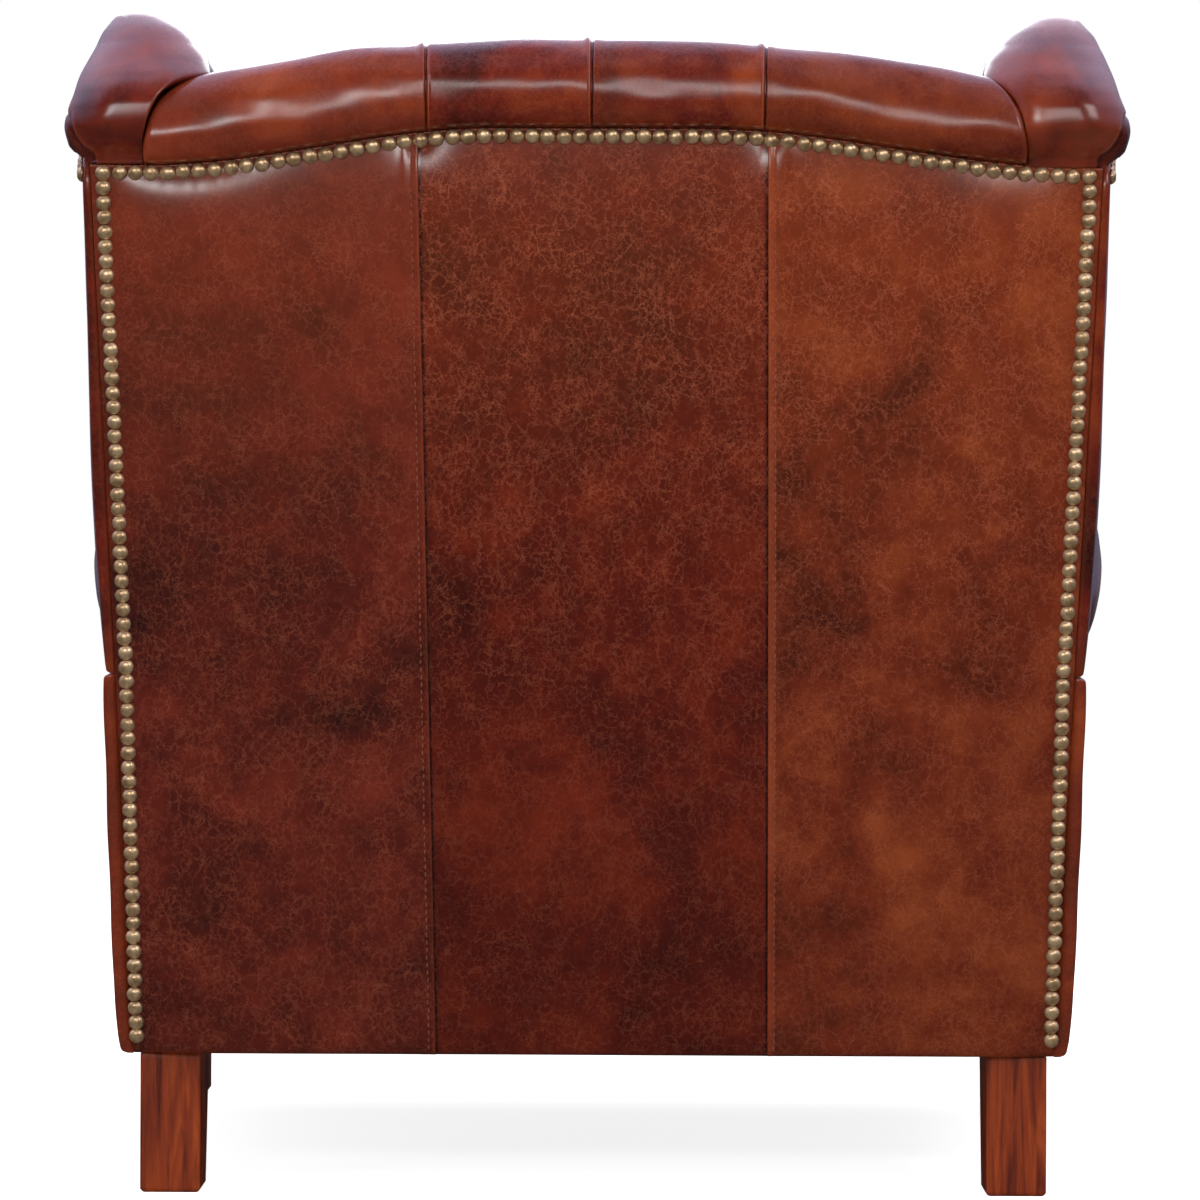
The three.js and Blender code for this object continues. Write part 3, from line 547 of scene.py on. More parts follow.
@dataclass(frozen=True)
class PullUpLeather:
    """Aniline pull-up hide, waxed and hand antiqued.

    Wax and oil make it dark where it lies flat and paler wherever it has been bent, so the eye
    sees clouds of dark and light, a web of pale creases, and a soft waxy shine.
    """

    # Creases of such a hide lie 5 to 13 mm apart. Its pores of 0.3 mm and its grain of 0.8 mm are
    # too fine to show, so both are drawn coarser. The web fades between its two levels, in metres.
    name: str
    # deep also colours painted shade, and worn colours painted highlights, wherever a piece's tone asks
    # for them
    deep: str = "#2a0604"
    mid: str = "#4a0d05"
    light: str = "#671c08"
    crease: str = "#ae5c3c"
    worn: str = "#904020"
    cloud_mm: float = 150.0
    blotch_mm: float = 38.0
    web_mm: tuple = (13.0, 8.0, 5.0)
    web_strength: float = 0.42
    web_low: float = 1.0
    web_levels: tuple = (0.3, 0.74)
    bend_mm: float = 24.0
    pore_mm: float = 1.7
    grain_mm: float = 2.4
    roughness: float = 0.36
    coat: float = 1.0
    coat_rough: float = 0.2
    wrinkle_mm: tuple = (20.0, 20.0, 20.0)
    wrinkle_depth: float = 2.2
    offset: tuple = (0.0, 0.0, 0.0)

    def build(self) -> Material:
        """Builds the node tree.

        Returns:
            The material.
        """
        material, tree = new_material(self.name)
        coord = add_node(tree, "TexCoord").outputs["Object"]
        place = add_node(tree, "Mapping", {"Vector": coord, "Location": self.offset}).outputs[0]
        clouds = self._clouds(tree, place)
        lines = self._web(tree, place)
        colour = self._colour(tree, place, clouds, lines)
        self._shade(tree, place, clouds, lines, colour)
        return material

    def _clouds(self, tree: Tree, place: Socket) -> Socket:
        """Large clouds of stain, broken up by smaller blotches.

        Args:
            tree: the material's tree.
            place: coordinates.

        Returns:
            Depth of the stain, 0 dark to 1 light.
        """
        large = noise(tree, place, self.cloud_mm, 4.0, 0.55, 0.6)
        small = noise(tree, place, self.blotch_mm, 6.0, 0.68, 0.4)
        both = add_node(tree, "Mix", {0: 0.42, 2: large, 3: small}, data_type="FLOAT").outputs[0]
        return mapped(tree, both, 0.36, 0.64)

    def _web(self, tree: Tree, place: Socket) -> Socket:
        """Pale creases: the edges of three sizes of bent cells, each kept only in patches.

        Args:
            tree: the material's tree.
            place: coordinates.

        Returns:
            Strength of the creases, 0 to 1.
        """
        bend = add_node(tree, "TexNoise", {
            "Vector": place, "Scale": per_metre(self.bend_mm), "Detail": 8.0, "Roughness": 0.78,
        }).outputs["Color"]
        centred = add_node(tree, "VectorMath", {0: bend, 1: (0.5, 0.5, 0.5)}, operation="SUBTRACT")
        shift = add_node(tree, "VectorMath", {0: centred.outputs[0], "Scale": self.bend_mm * MM},
                         operation="SCALE").outputs[0]
        bent = add_node(tree, "VectorMath", {0: place, 1: shift}, operation="ADD").outputs[0]
        total = None
        # For each size: a line's width as a share of a cell, the pattern's turn, and which patches stay
        looks = ((0.02, (0.4, 0.9, 0.2), 0.44), (0.028, (-0.5, 0.3, 0.9), 0.42),
                 (0.04, (0.2, -0.7, 1.3), 0.41))
        for size, (thin, turn, keep) in zip(self.web_mm, looks):
            turned = add_node(tree, "Mapping", {
                "Vector": bent, "Rotation": turn, "Scale": (1.0, 0.6, 0.78),
            }).outputs[0]
            cells = add_node(tree, "TexVoronoi", {
                "Vector": turned, "Scale": per_metre(size),
            }, feature="DISTANCE_TO_EDGE").outputs["Distance"]
            line = mapped(tree, cells, 0.0, thin, 1.0, 0.0)
            patch = noise(tree, turned, size * 3.0, 3.0, 0.7)
            kept = mapped(tree, patch, keep, keep + 0.16)
            shown = add_node(tree, "Math", {0: line, 1: kept}, operation="MULTIPLY").outputs[0]
            total = shown if total is None else add_node(
                tree, "Math", {0: total, 1: shown}, operation="MAXIMUM").outputs[0]
        return total

    def _colour(self, tree: Tree, place: Socket, clouds: Socket, lines: Socket) -> Socket:
        """Stain by depth, tone by piece with its painted highlight and shade, pale creases, worn folds
        and dark pores.

        Args:
            tree: the material's tree.
            place: coordinates.
            clouds: depth of the stain.
            lines: strength of the creases.

        Returns:
            The hide's colour.
        """
        stain = add_node(tree, "ValToRGB", {"Fac": clouds}, stops=[
            (0.0, self.deep), (0.5, self.mid), (1.0, self.light),
        ]).outputs["Color"]
        # Tone lifts towards worn and drops towards deep: the hide's own tone of each piece, with painted
        # highlight and painted shade
        tone = add_node(tree, "Attribute", attribute_name="tone").outputs["Fac"]
        tone_and_highlight_lift = add_node(tree, "Math", {0: tone, 1: 0.0}, operation="MAXIMUM").outputs[0]
        tone_and_shade_drop = add_node(tree, "Math", {0: tone, 1: -1.0}, operation="MULTIPLY",
                        use_clamp=True).outputs[0]
        lifted_tone_and_highlight = painted(tree, tone_and_highlight_lift, stain, self.worn)
        dark = painted(tree, tone_and_shade_drop, lifted_tone_and_highlight, self.deep)
        height = add_node(tree, "SeparateXYZ", {0: place}).outputs["Z"]
        bottom, top = (level + self.offset[2] for level in self.web_levels)
        faded = mapped(tree, height, bottom, top, self.web_strength * self.web_low, self.web_strength)
        amount = add_node(tree, "Math", {0: lines, 1: faded}, operation="MULTIPLY").outputs[0]
        webbed = painted(tree, amount, dark, self.crease)
        bent = add_node(tree, "NewGeometry").outputs["Pointiness"]
        rubbed = mapped(tree, bent, 0.515, 0.60, 0.0, 0.45)
        edges = painted(tree, rubbed, webbed, self.worn)
        pores = add_node(tree, "TexVoronoi", {
            "Vector": place, "Scale": per_metre(self.pore_mm),
        }).outputs["Distance"]
        pits = mapped(tree, pores, 0.0, 0.42, 0.34, 0.0)
        return painted(tree, pits, edges, self.deep)

    def _shade(self, tree: Tree, place: Socket, clouds: Socket, lines: Socket, colour: Socket) -> None:
        """Waxy shine over grain, creases and soft waves.

        Args:
            tree: the material's tree.
            place: coordinates.
            clouds: depth of the stain.
            lines: strength of the creases.
            colour: the hide's colour.
        """
        grain = add_node(tree, "TexVoronoi", {
            "Vector": place, "Scale": per_metre(self.grain_mm),
        }, feature="SMOOTH_F1").outputs["Distance"]
        drawn = add_node(tree, "Mapping", {
            "Vector": place, "Scale": [per_metre(size) for size in self.wrinkle_mm],
        }).outputs[0]
        wave = add_node(tree, "TexNoise", {
            "Vector": drawn, "Scale": 1.0, "Detail": 6.0, "Roughness": 0.6,
        }).outputs["Fac"]
        base = add_node(tree, "Bump", {
            "Height": wave, "Strength": 0.6, "Distance": self.wrinkle_depth * MM,
        })
        cut = add_node(tree, "Bump", {
            "Height": lines, "Strength": 0.45, "Distance": 0.0005, "Normal": base.outputs[0],
        }, invert=True)
        fine = add_node(tree, "Bump", {
            "Height": grain, "Strength": 0.22, "Distance": 0.0004, "Normal": cut.outputs[0],
        })
        rough = mapped(tree, clouds, 0.0, 1.0, self.roughness - 0.07, self.roughness + 0.09)
        shader = add_node(tree, "BsdfPrincipled", {
            "Base Color": colour, "Roughness": rough, "Normal": fine.outputs[0], "IOR": 1.45,
            "Specular IOR Level": 0.2, "Specular Tint": linear("#d07850"),
            "Coat Weight": self.coat, "Coat Roughness": self.coat_rough,
        })
        add_node(tree, "OutputMaterial", {"Surface": shader.outputs[0]})


@dataclass(frozen=True)
class AntiqueBrass:
    """Brass-plated steel nail heads, rubbed after darkening, so the rims keep a brown patina."""

    # Stain patches take in most of an 11 mm head, and a press leaves dents of about 3 mm
    name: str = "antiqued_brass_nails"
    stain_mm: float = 9.0
    dent_mm: float = 3.0
    rubbed: str = "#e6c59a"
    patina: str = "#aa855e"
    rim: str = "#3c2a12"

    def build(self) -> Material:
        """Builds the node tree.

        Returns:
            The material.
        """
        material, tree = new_material(self.name)
        coord = add_node(tree, "TexCoord").outputs["Object"]
        stain = noise(tree, coord, self.stain_mm, 5.0, 0.7)
        colour = add_node(tree, "ValToRGB", {"Fac": stain}, stops=[
            (0.36, self.patina), (0.60, self.rubbed),
        ]).outputs["Color"]
        rim = add_node(tree, "Attribute", attribute_name="tone").outputs["Fac"]
        dark = mapped(tree, rim, 0.45, 0.95, 0.0, 0.9)
        shade = painted(tree, dark, colour, self.rim)
        rough = mapped(tree, stain, 0.0, 1.0, 0.26, 0.4)
        dents = noise(tree, coord, self.dent_mm, 3.0)
        bump = add_node(tree, "Bump", {"Height": dents, "Strength": 0.25, "Distance": 0.0004})
        shader = add_node(tree, "BsdfPrincipled", {
            "Base Color": shade, "Metallic": 0.78, "Roughness": rough,
            "Normal": bump.outputs[0],
        })
        add_node(tree, "OutputMaterial", {"Surface": shader.outputs[0]})
        return material


@dataclass(frozen=True)
class SawnWood:
    """Planed or sawn timber: long pores and growth bands that run upright with the post or leg."""

    # Growth bands are 2 to 10 mm wide. Pores of beech are under 0.1 mm and are drawn coarser. The
    # grain is the stretch of the pattern along x, y and z, and the grime darkens handled patches.
    name: str
    dark: str
    mid: str
    light: str
    grain: tuple = (1.0, 1.0, 0.06)
    band_mm: float = 9.0
    pore_mm: float = 1.6
    grime_mm: float = 60.0
    roughness: float = 0.6
    coat: float = 0.0
    grime: float = 0.0

    def build(self) -> Material:
        """Builds the node tree.

        Returns:
            The material.
        """
        material, tree = new_material(self.name)
        coord = add_node(tree, "TexCoord").outputs["Object"]
        run = add_node(tree, "Mapping", {"Vector": coord, "Scale": self.grain}).outputs[0]
        bands = noise(tree, run, self.band_mm, 4.0, 0.55, 1.2)
        pores = noise(tree, run, self.pore_mm, 3.0, 0.6)
        colour = add_node(tree, "ValToRGB", {"Fac": bands}, stops=[
            (0.30, self.dark), (0.50, self.mid), (0.72, self.light),
        ]).outputs["Color"]
        streak = mapped(tree, pores, 0.44, 0.30, 0.0, 0.5)
        lined = painted(tree, streak, colour, self.dark)
        cloud = noise(tree, coord, self.grime_mm, 4.0, 0.6)
        soiled = mapped(tree, cloud, 0.42, 0.66, 0.0, self.grime)
        final = painted(tree, soiled, lined, self.dark)
        bump = add_node(tree, "Bump", {"Height": pores, "Strength": 0.3, "Distance": 0.0004})
        rough = mapped(tree, bands, 0.0, 1.0, self.roughness + 0.06, self.roughness - 0.06)
        shader = add_node(tree, "BsdfPrincipled", {
            "Base Color": final, "Roughness": rough, "Normal": bump.outputs[0], "IOR": 1.5,
            "Specular IOR Level": 0.2, "Coat Weight": self.coat, "Coat Roughness": 0.3,
        })
        add_node(tree, "OutputMaterial", {"Surface": shader.outputs[0]})
        return material


@dataclass(frozen=True)
class PlainWeave:
    """Woven yarn: two crossed sets of ribs, each yarn a little uneven in tone."""

    # Jute yarn is 3 mm thick. The dust cloth's threads of 0.5 mm are drawn coarser, to show.
    name: str
    valley: str
    yarn: str
    pitch_mm: float
    depth_mm: float = 0.6
    roughness: float = 0.9

    def build(self) -> Material:
        """Builds the node tree: height is the product of two crossed sine ribs.

        Returns:
            The material.
        """
        material, tree = new_material(self.name)
        coord = add_node(tree, "TexCoord").outputs["Object"]
        parts = add_node(tree, "SeparateXYZ", {0: coord})
        ribs = []
        half_turns = math.pi * per_metre(self.pitch_mm)
        for axis in "XY":
            turn = add_node(tree, "Math", {0: parts.outputs[axis], 1: half_turns},
                            operation="MULTIPLY").outputs[0]
            wave = add_node(tree, "Math", {0: turn}, operation="SINE").outputs[0]
            ribs.append(add_node(tree, "Math", {0: wave}, operation="ABSOLUTE").outputs[0])
        height = add_node(tree, "Math", {0: ribs[0], 1: ribs[1]}, operation="MULTIPLY").outputs[0]
        fuzz = noise(tree, coord, self.pitch_mm * 1.5, 4.0)
        both = add_node(tree, "Mix", {0: 0.35, 2: height, 3: fuzz}, data_type="FLOAT").outputs[0]
        colour = add_node(tree, "ValToRGB", {"Fac": both}, stops=[
            (0.12, self.valley), (0.65, self.yarn),
        ]).outputs["Color"]
        bump = add_node(tree, "Bump", {"Height": both, "Strength": 0.8, "Distance": self.depth_mm * MM})
        shader = add_node(tree, "BsdfPrincipled", {
            "Base Color": colour, "Roughness": self.roughness, "Normal": bump.outputs[0],
            "Sheen Weight": 0.15,
        })
        add_node(tree, "OutputMaterial", {"Surface": shader.outputs[0]})
        return material


@dataclass(frozen=True)
class Matted:
    """Felt, foam, pressed board or thread: no weave, only fibres or cells of one small size."""

    # Foam has cells of 1 mm. Fibres of felt, board and thread are far finer and drawn coarser.
    name: str
    hollow: str
    face: str
    grain_mm: float
    depth_mm: float = 0.5
    roughness: float = 0.9

    def build(self) -> Material:
        """Builds the node tree.

        Returns:
            The material.
        """
        material, tree = new_material(self.name)
        coord = add_node(tree, "TexCoord").outputs["Object"]
        cells = add_node(tree, "TexVoronoi", {
            "Vector": coord, "Scale": per_metre(self.grain_mm),
        }).outputs["Distance"]
        cloud = noise(tree, coord, self.grain_mm * 12, 6.0, 0.7)
        both = add_node(tree, "Mix", {0: 0.5, 2: cells, 3: cloud}, data_type="FLOAT").outputs[0]
        colour = add_node(tree, "ValToRGB", {"Fac": both}, stops=[
            (0.25, self.hollow), (0.6, self.face),
        ]).outputs["Color"]
        bump = add_node(tree, "Bump", {"Height": both, "Strength": 0.6, "Distance": self.depth_mm * MM})
        shader = add_node(tree, "BsdfPrincipled", {
            "Base Color": colour, "Roughness": self.roughness, "Normal": bump.outputs[0],
        })
        add_node(tree, "OutputMaterial", {"Surface": shader.outputs[0]})
        return material


# Lines that several pieces share


@dataclass(frozen=True)
class BackLines:
    """Nail line, crest line and seams of the back, square-drawn in millimetres."""

    nail_corner: float = 762.0
    nail_rise: float = 28.0
    arch_start: float = 70.0
    arch_end: float = 320.0
    nail_lift: float = 6.0
    crest_height: float = 863.0
    crest_drop: float = 33.0
    crest_drop_half: float = 300.0
    crest_curl: float = 2.4
    crest_half: float = 313.0
    crest_drift: float = 8.0
    seat_level: float = 332.3
    pad_head: float = 740.0
    back_depth: float = 325.0
    body_bottom: float = 106.0
    nail_column: float = 350.8
    column_drift: float = 6.0
    top_pitch: float = 11.74
    side_pitch: float = 10.75
    wing_front: float = 17.0
    wing_depth: float = 308.0
    wing_foot: float = 490.0
    wing_tall: float = 405.0
    panel_rear: float = 322.0
    panel_tail: float = 165.3

    @property
    def nail_top(self) -> float:
        """Height of the nail row in the middle of the back."""
        return self.nail_corner + self.nail_rise

    def nail_line(self, x: np.ndarray) -> np.ndarray:
        """Height of the arched nail row: flat in the middle, a little fuller on the right side.

        Args:
            x: sideways places.

        Returns:
            Heights.
        """
        wide = np.where(np.asarray(x) < 0, 0.92, 1.0)
        arch = 1 - smooth(np.abs(x) * wide, self.arch_start, self.arch_end)
        return self.nail_corner + self.nail_rise * arch

    def crest_line(self, x: np.ndarray) -> np.ndarray:
        """Height of the crest: falls as a power of the distance from the middle."""
        share = np.abs(x) / self.crest_drop_half
        return self.crest_height - self.crest_drop * share ** self.crest_curl

    def seam_half(self, z: np.ndarray) -> np.ndarray:
        """Half width of the crest where its seam meets the wings, narrower towards its top.

        Args:
            z: heights.

        Returns:
            Half widths.
        """
        up = (np.asarray(z, float) - self.pad_head) / (self.crest_height - self.pad_head)
        share = eased([0, 0.3, 0.45, 0.61, 0.73, 0.83, 1.0],
                      [1, 1, 0.99, 0.965, 0.925, 0.895, 0.865], np.ravel(up))
        return self.crest_half * share.reshape(np.shape(up))


LINES = BackLines()


def close_set(length: float, fine: float, coarse: float, reach: float) -> np.ndarray:
    """Places along a length, closely set near both ends and wider apart between.

    Args:
        length: whole length.
        fine: first spacing at the ends.
        coarse: spacing in the middle.
        reach: distance over which the spacing grows.

    Returns:
        Rising places from 0 to length.
    """
    ends = [0.0]
    step = fine
    while ends[-1] < reach:
        ends.append(ends[-1] + step)
        step = min(step * 1.25, coarse)
    near = np.array(ends)
    middle = length - 2 * near[-1]
    between = near[-1] + np.linspace(0, middle, max(int(middle / coarse), 2) + 1)[1:-1]
    return np.concatenate([near, between, (length - near)[::-1]])


def edge_round(distance: np.ndarray, radius: float) -> np.ndarray:
    """How far a rounded edge falls away: radius less the height of its quarter circle.

    Args:
        distance: distance in from the edge.
        radius: radius of the edge.

    Returns:
        Fall, radius at the edge and 0 beyond the radius.
    """
    share = np.clip(1 - distance / radius, 0, 1)
    return radius * (1 - np.sqrt(1 - share ** 2))


@dataclass
class OutsideBack:
    """The flat outside back: three leather panels, the outer two lapped over the middle one."""

    lines: BackLines = LINES
    half: float = 359.3
    inner_face: float = 317.6
    seam_left: tuple = (123.0, 126.5)
    seam_right: tuple = (-136.0, -121.5)
    crown: float = 8.5
    lap: float = 1.7
    stitch_inset: float = 5.2
    stitch_pitch: float = 5.7
    stitch_half: tuple = (0.55, 0.38, 1.65)
    stitch_lean: float = 0.12

    def seam(self, foot_top: tuple, z: np.ndarray) -> np.ndarray:
        """Sideways place of a seam: a straight line from its foot to its top."""
        share = (z - self.lines.body_bottom) / (self.lines.nail_top - self.lines.body_bottom)
        return foot_top[0] + (foot_top[1] - foot_top[0]) * share

    def face(self, x: np.ndarray, z: np.ndarray) -> np.ndarray:
        """Depth of the padded face: it swells away from the nails and puckers between them.

        The swell is a product of 1 - exp(-distance / length) from each nailed edge, and steeper
        beside the seams and in the corners. Puckers are cosines at the nails' pitch that fade inwards.

        Args:
            x: sideways places.
            z: heights.

        Returns:
            Depth y of the face.
        """
        top = np.maximum(self.lines.nail_line(x) - z, 0)
        side = np.maximum(self.lines.nail_column - np.abs(x), 0)
        full = bell(x, 124, 24) + bell(x, -124, 20) + smooth(x, 150, 280) + 0.7 * smooth(-x, 190, 290)
        swell = (1 - np.exp(-top / (75 - 56 * np.minimum(full, 1)))) * (1 - np.exp(-side / 20))
        depth = self.crown * swell * (0.6 + 0.4 * smooth(z, self.lines.body_bottom, 700))
        pts = np.stack([x, np.zeros_like(x), z], -1)
        uneven = 0.65 + 0.5 * waves(pts, 90, 11, 2)
        pull = np.cos(math.tau * x / self.lines.top_pitch) * np.exp(-top / 13) * uneven
        depth = depth - 0.55 * pull * (top < 80)
        pull = np.cos(math.tau * (self.lines.nail_corner - z) / self.lines.side_pitch)
        depth = depth - 0.38 * pull * np.exp(-side / 9) * uneven
        slack = waves(pts, 240, 5, 3) * 0.9 + waves(pts * [1, 1, 0.45], 70, 6, 2) * 0.28
        return self.lines.back_depth + depth + slack * swell

    def lapped(self, distance: np.ndarray) -> np.ndarray:
        """Rise of a lapped edge: a folded lip, a stitched groove, then level with the rest.

        Args:
            distance: distance in from the fold.

        Returns:
            Rise above the plain face.
        """
        lip = self.lap * np.exp(-distance / 11) - edge_round(distance, 1.3)
        groove = 0.75 * bell(distance, self.stitch_inset, 1.5)
        return lip - groove

    def panel(self, left: tuple | None, right: tuple | None) -> tuple[Surface, np.ndarray]:
        """One panel between two seams, or between a seam and the chair's own edge.

        Args:
            left: foot and top of its seam on the -X side, or None at the edge.
            right: the same on the +X side.

        Returns:
            The panel, placed, and the tone of each of its points.
        """
        middle = left is not None and right is not None
        v = close_set(656.0, 1.2, 5.0, 22.0) / 656.0
        u = close_set(250.0, 0.45, 5.0, 16.0) / 250.0
        low = self.lines.body_bottom
        z0 = low + v * (self.lines.nail_top - low)
        a = self.seam(left, z0) if left else np.full_like(z0, -self.half)
        b = self.seam(right, z0) if right else np.full_like(z0, self.half)
        tuck = 1.5 if middle else 0.0
        x = (a - tuck)[:, None] * (1 - u) + (b + tuck)[:, None] * u
        top = self.lines.nail_line(x) + self.lines.nail_lift
        z = low + v[:, None] * (top - low)
        y = self.face(x, z) - edge_round(z - low, 7.0)
        if middle:
            y -= 0.5
        else:
            seam = left if left else right
            y += self.lapped(np.abs(x - self.seam(seam, z)))
            y -= edge_round(self.half + 1.0 - np.abs(x), 5.0)
        front = np.stack([x, y, z], -1)
        rear = np.stack([x, np.full_like(y, self.inner_face), z], -1)
        form = slab(front, rear)
        return Surface(STANCE.place(form.points), form.quads, form.tris), self.tones(form.points, middle)

    def tones(self, points: np.ndarray, middle: bool) -> np.ndarray:
        """Tone of a panel: painted highlight near its top and on a lapped lip, painted shade at its foot
        and beside a lap.

        Args:
            points: square-drawn points.
            middle: whether it is the panel that lies under both laps.

        Returns:
            Tones, -1 darker to 1 lighter.
        """
        x, _, z = points.T
        # Painted highlight towards the top, painted shade towards the foot, deeper on the middle panel
        tone = 0.2 * smooth(z, 420, 760) - (0.12 + 0.13 * middle) * smooth(-z, -420, -120)
        for seam in (self.seam_left, self.seam_right):
            off = np.abs(x - self.seam(seam, z))
            # At each lap: a painted highlight on the outer panel's lip, a painted shadow in the line
            # beside it on the middle panel
            width, pale = (1.0, 0.12) if seam[1] > 0 else (4.6, 0.42)
            lip = pale * (1 - smooth(off, width, width + 1.2))
            line = -1.1 * (1 - smooth(off, 1.2, 2.4)) if middle else lip
            tone = tone + line
        return tone

    def stitches(self, foot_top: tuple, outward: int) -> Surface:
        """A row of stitches along a lapped seam: small pointed bars that lean with the back.

        Args:
            foot_top: foot and top of the seam.
            outward: side of the seam that carries the row.

        Returns:
            All the stitches, placed.
        """
        rng = np.random.default_rng(31 + outward)
        z = np.arange(self.lines.body_bottom + 6, 780, self.stitch_pitch)
        x = self.seam(foot_top, z) + outward * self.stitch_inset + rng.normal(0, 0.18, len(z))
        y = self.face(x, z) + self.lapped(np.full_like(z, self.stitch_inset)) + 0.18
        rise = np.linspace(-1, 1, 5)
        ring = np.arange(6) * math.tau / 6
        fat = np.sqrt(1 - 0.8 * rise ** 2)[:, None]
        grid = np.stack([
            fat * self.stitch_half[0] * np.cos(ring), fat * self.stitch_half[1] * np.sin(ring),
            np.broadcast_to(rise[:, None] * self.stitch_half[2], (5, 6)),
        ], -1)
        along = np.array([0.0, self.stitch_lean, 1.0])
        along /= np.linalg.norm(along)
        side = np.array([-1.0, 0.0, 0.0])
        turn = np.stack([side, np.cross(along, side), along], -1)
        places = STANCE.place(np.stack([x, y, z], -1))
        return wrapped(grid * MM).outward().repeated(places, np.broadcast_to(turn, (len(z), 3, 3)))

    def build(self, hides: list, thread: Material) -> None:
        """Adds the three panels and both rows of stitches.

        Args:
            hides: finishes of the left, middle and right panel.
            thread: finish of the stitches.
        """
        spans = {
            "left": (self.seam_left, None),
            "middle": (self.seam_right, self.seam_left),
            "right": (None, self.seam_right),
        }
        for (word, span), hide in zip(spans.items(), hides):
            name = f"outside_back_{word}"
            panel, tones = self.panel(*span)
            add_piece(name + "_leather", panel, hide, (name,), tones=tones)
        for word, seam, outward in (("left", self.seam_left, 1), ("right", self.seam_right, -1)):
            row = self.stitches(seam, outward)
            add_piece(f"outside_back_stitches_{word}", row, thread)


def spread(path: np.ndarray, pitch: float) -> np.ndarray:
    """Even places along a path, one at the middle of each pitch.

    Args:
        path: square-drawn points.
        pitch: wished distance in millimetres.

    Returns:
        Places in metres, shape (n, 3).
    """
    placed = STANCE.place(path)
    run = np.concatenate([[0], np.cumsum(np.linalg.norm(np.diff(placed, axis=0), axis=1))])
    count = round(run[-1] / (pitch * MM))
    at = (np.arange(count) + 0.5) / count * run[-1]
    return np.stack([np.interp(at, run, placed[:, k]) for k in range(3)], -1)


@dataclass
class NailRows:
    """Brass nails, each head on its own, along the arched top, both sides and both wings."""

    brass: Material
    lines: BackLines = LINES
    radius: float = 5.95
    height: float = 4.4
    sides: int = 12
    profile: tuple = ((1.0, -0.06), (0.97, 0.26), (0.76, 0.68), (0.42, 0.93))
    rim_tone: tuple = (1.0, 0.62, 0.1, 0.0)
    foot: float = 114.0
    wing_inset: float = 8.0
    wing_stand: float = 365.3

    def head(self) -> Surface:
        """One head: rings of its profile, closed at both ends.

        Returns:
            The head in millimetres, its dome along +Z.
        """
        turn = np.arange(self.sides) * math.tau / self.sides
        rows = [
            np.stack([r * np.cos(turn), r * np.sin(turn), np.full_like(turn, up)], -1)
            for r, up in self.profile
        ]
        return wrapped(np.stack(rows) * [self.radius, self.radius, self.height]).outward()

    def row(self, name: str, places: np.ndarray, normal: np.ndarray, seed: int) -> None:
        """Sets heads down along a row, each a little tilted and uneven.

        Args:
            name: frame node that the row replaces.
            places: places in metres, shape (n, 3).
            normal: direction in which the domes point.
            seed: picks the tilts and sizes.
        """
        rng = np.random.default_rng(seed)
        count = len(places)
        normals = normal / np.linalg.norm(normal) + rng.normal(0, 0.045, (count, 3))
        normals /= np.linalg.norm(normals, axis=1, keepdims=True)
        along = np.gradient(places, axis=0)
        side = np.cross(normals, along)
        side /= np.linalg.norm(side, axis=1, keepdims=True)
        front = np.cross(side, normals)
        spin = rng.uniform(0, math.tau, count)[:, None]
        first = side * np.cos(spin) + front * np.sin(spin)
        second = np.cross(normals, first)
        turns = np.stack([first, second, normals], -1)
        turns *= rng.normal(1, 0.018, (count, 1, 3)) * MM
        heads = self.head().repeated(places + rng.normal(0, 0.22 * MM, (count, 3)) * [1, 0.3, 1], turns)
        rim = np.concatenate([np.repeat(self.rim_tone, self.sides), [1.0, 0.0]])
        dulled = rng.uniform(0, 0.35, (count, 1))
        tones = np.clip(rim[None] * 0.9 + dulled * (1 - rim[None]), 0, 1)
        add_piece(name + "_heads", heads, self.brass, (name,), tones=tones.ravel())

    def build(self) -> None:
        """Adds the five rows."""
        half = self.lines.nail_column + 4.9
        x = np.linspace(half, -half, 400)
        top = np.stack([x, np.full_like(x, self.lines.back_depth + 0.2), self.lines.nail_line(x)], -1)
        back = np.array([0, 1, -STANCE.rake])
        self.row("nail_row_top", spread(top, self.lines.top_pitch), back, 41)
        z = np.linspace(self.lines.nail_corner - 5.5, self.foot, 300)
        drift = np.clip((STANCE.tuck_height - z) / (STANCE.tuck_height - self.foot), 0, 1)
        column = self.lines.nail_column + self.lines.column_drift * drift
        for side in Side:
            path = np.stack([side.value * column, np.full_like(z, self.lines.back_depth + 0.2), z], -1)
            places = spread(path, self.lines.side_pitch)
            self.row(f"nail_row_{side.word}", places, back, 43 + side.value)
            outline = offset_line(WING_PANEL[1:12], self.wing_inset)
            path = np.insert(outline, 0, self.wing_stand, axis=1) * [side.value, 1, 1]
            out = np.array([side.value, STANCE.flare, -STANCE.lean])
            places = spread(path, self.lines.side_pitch)
            self.row(f"nail_row_wing_{side.word}", places, out, 47 + side.value)


def wing_points(shares: list) -> np.ndarray:
    """Depth and height of points given as shares of the wing's depth and height."""
    start = np.array([LINES.wing_front, LINES.wing_foot])
    return start + np.array(shares) * [LINES.wing_depth, LINES.wing_tall]


# Outline of the outside wing panel, as depth and height, from its rear foot round to the arm
WING_PANEL = np.concatenate([
    [[LINES.panel_rear, 392.3], [LINES.panel_rear, 767.4]],
    wing_points([
        (0.886, 0.723), (0.724, 0.781), (0.562, 0.810), (0.399, 0.803), (0.269, 0.761),
        (0.198, 0.678), (0.198, 0.579), (0.256, 0.454), (0.341, 0.354), (0.432, 0.279),
    ]),
    [[LINES.panel_tail, 575.0], [LINES.panel_tail, 392.3]],
])


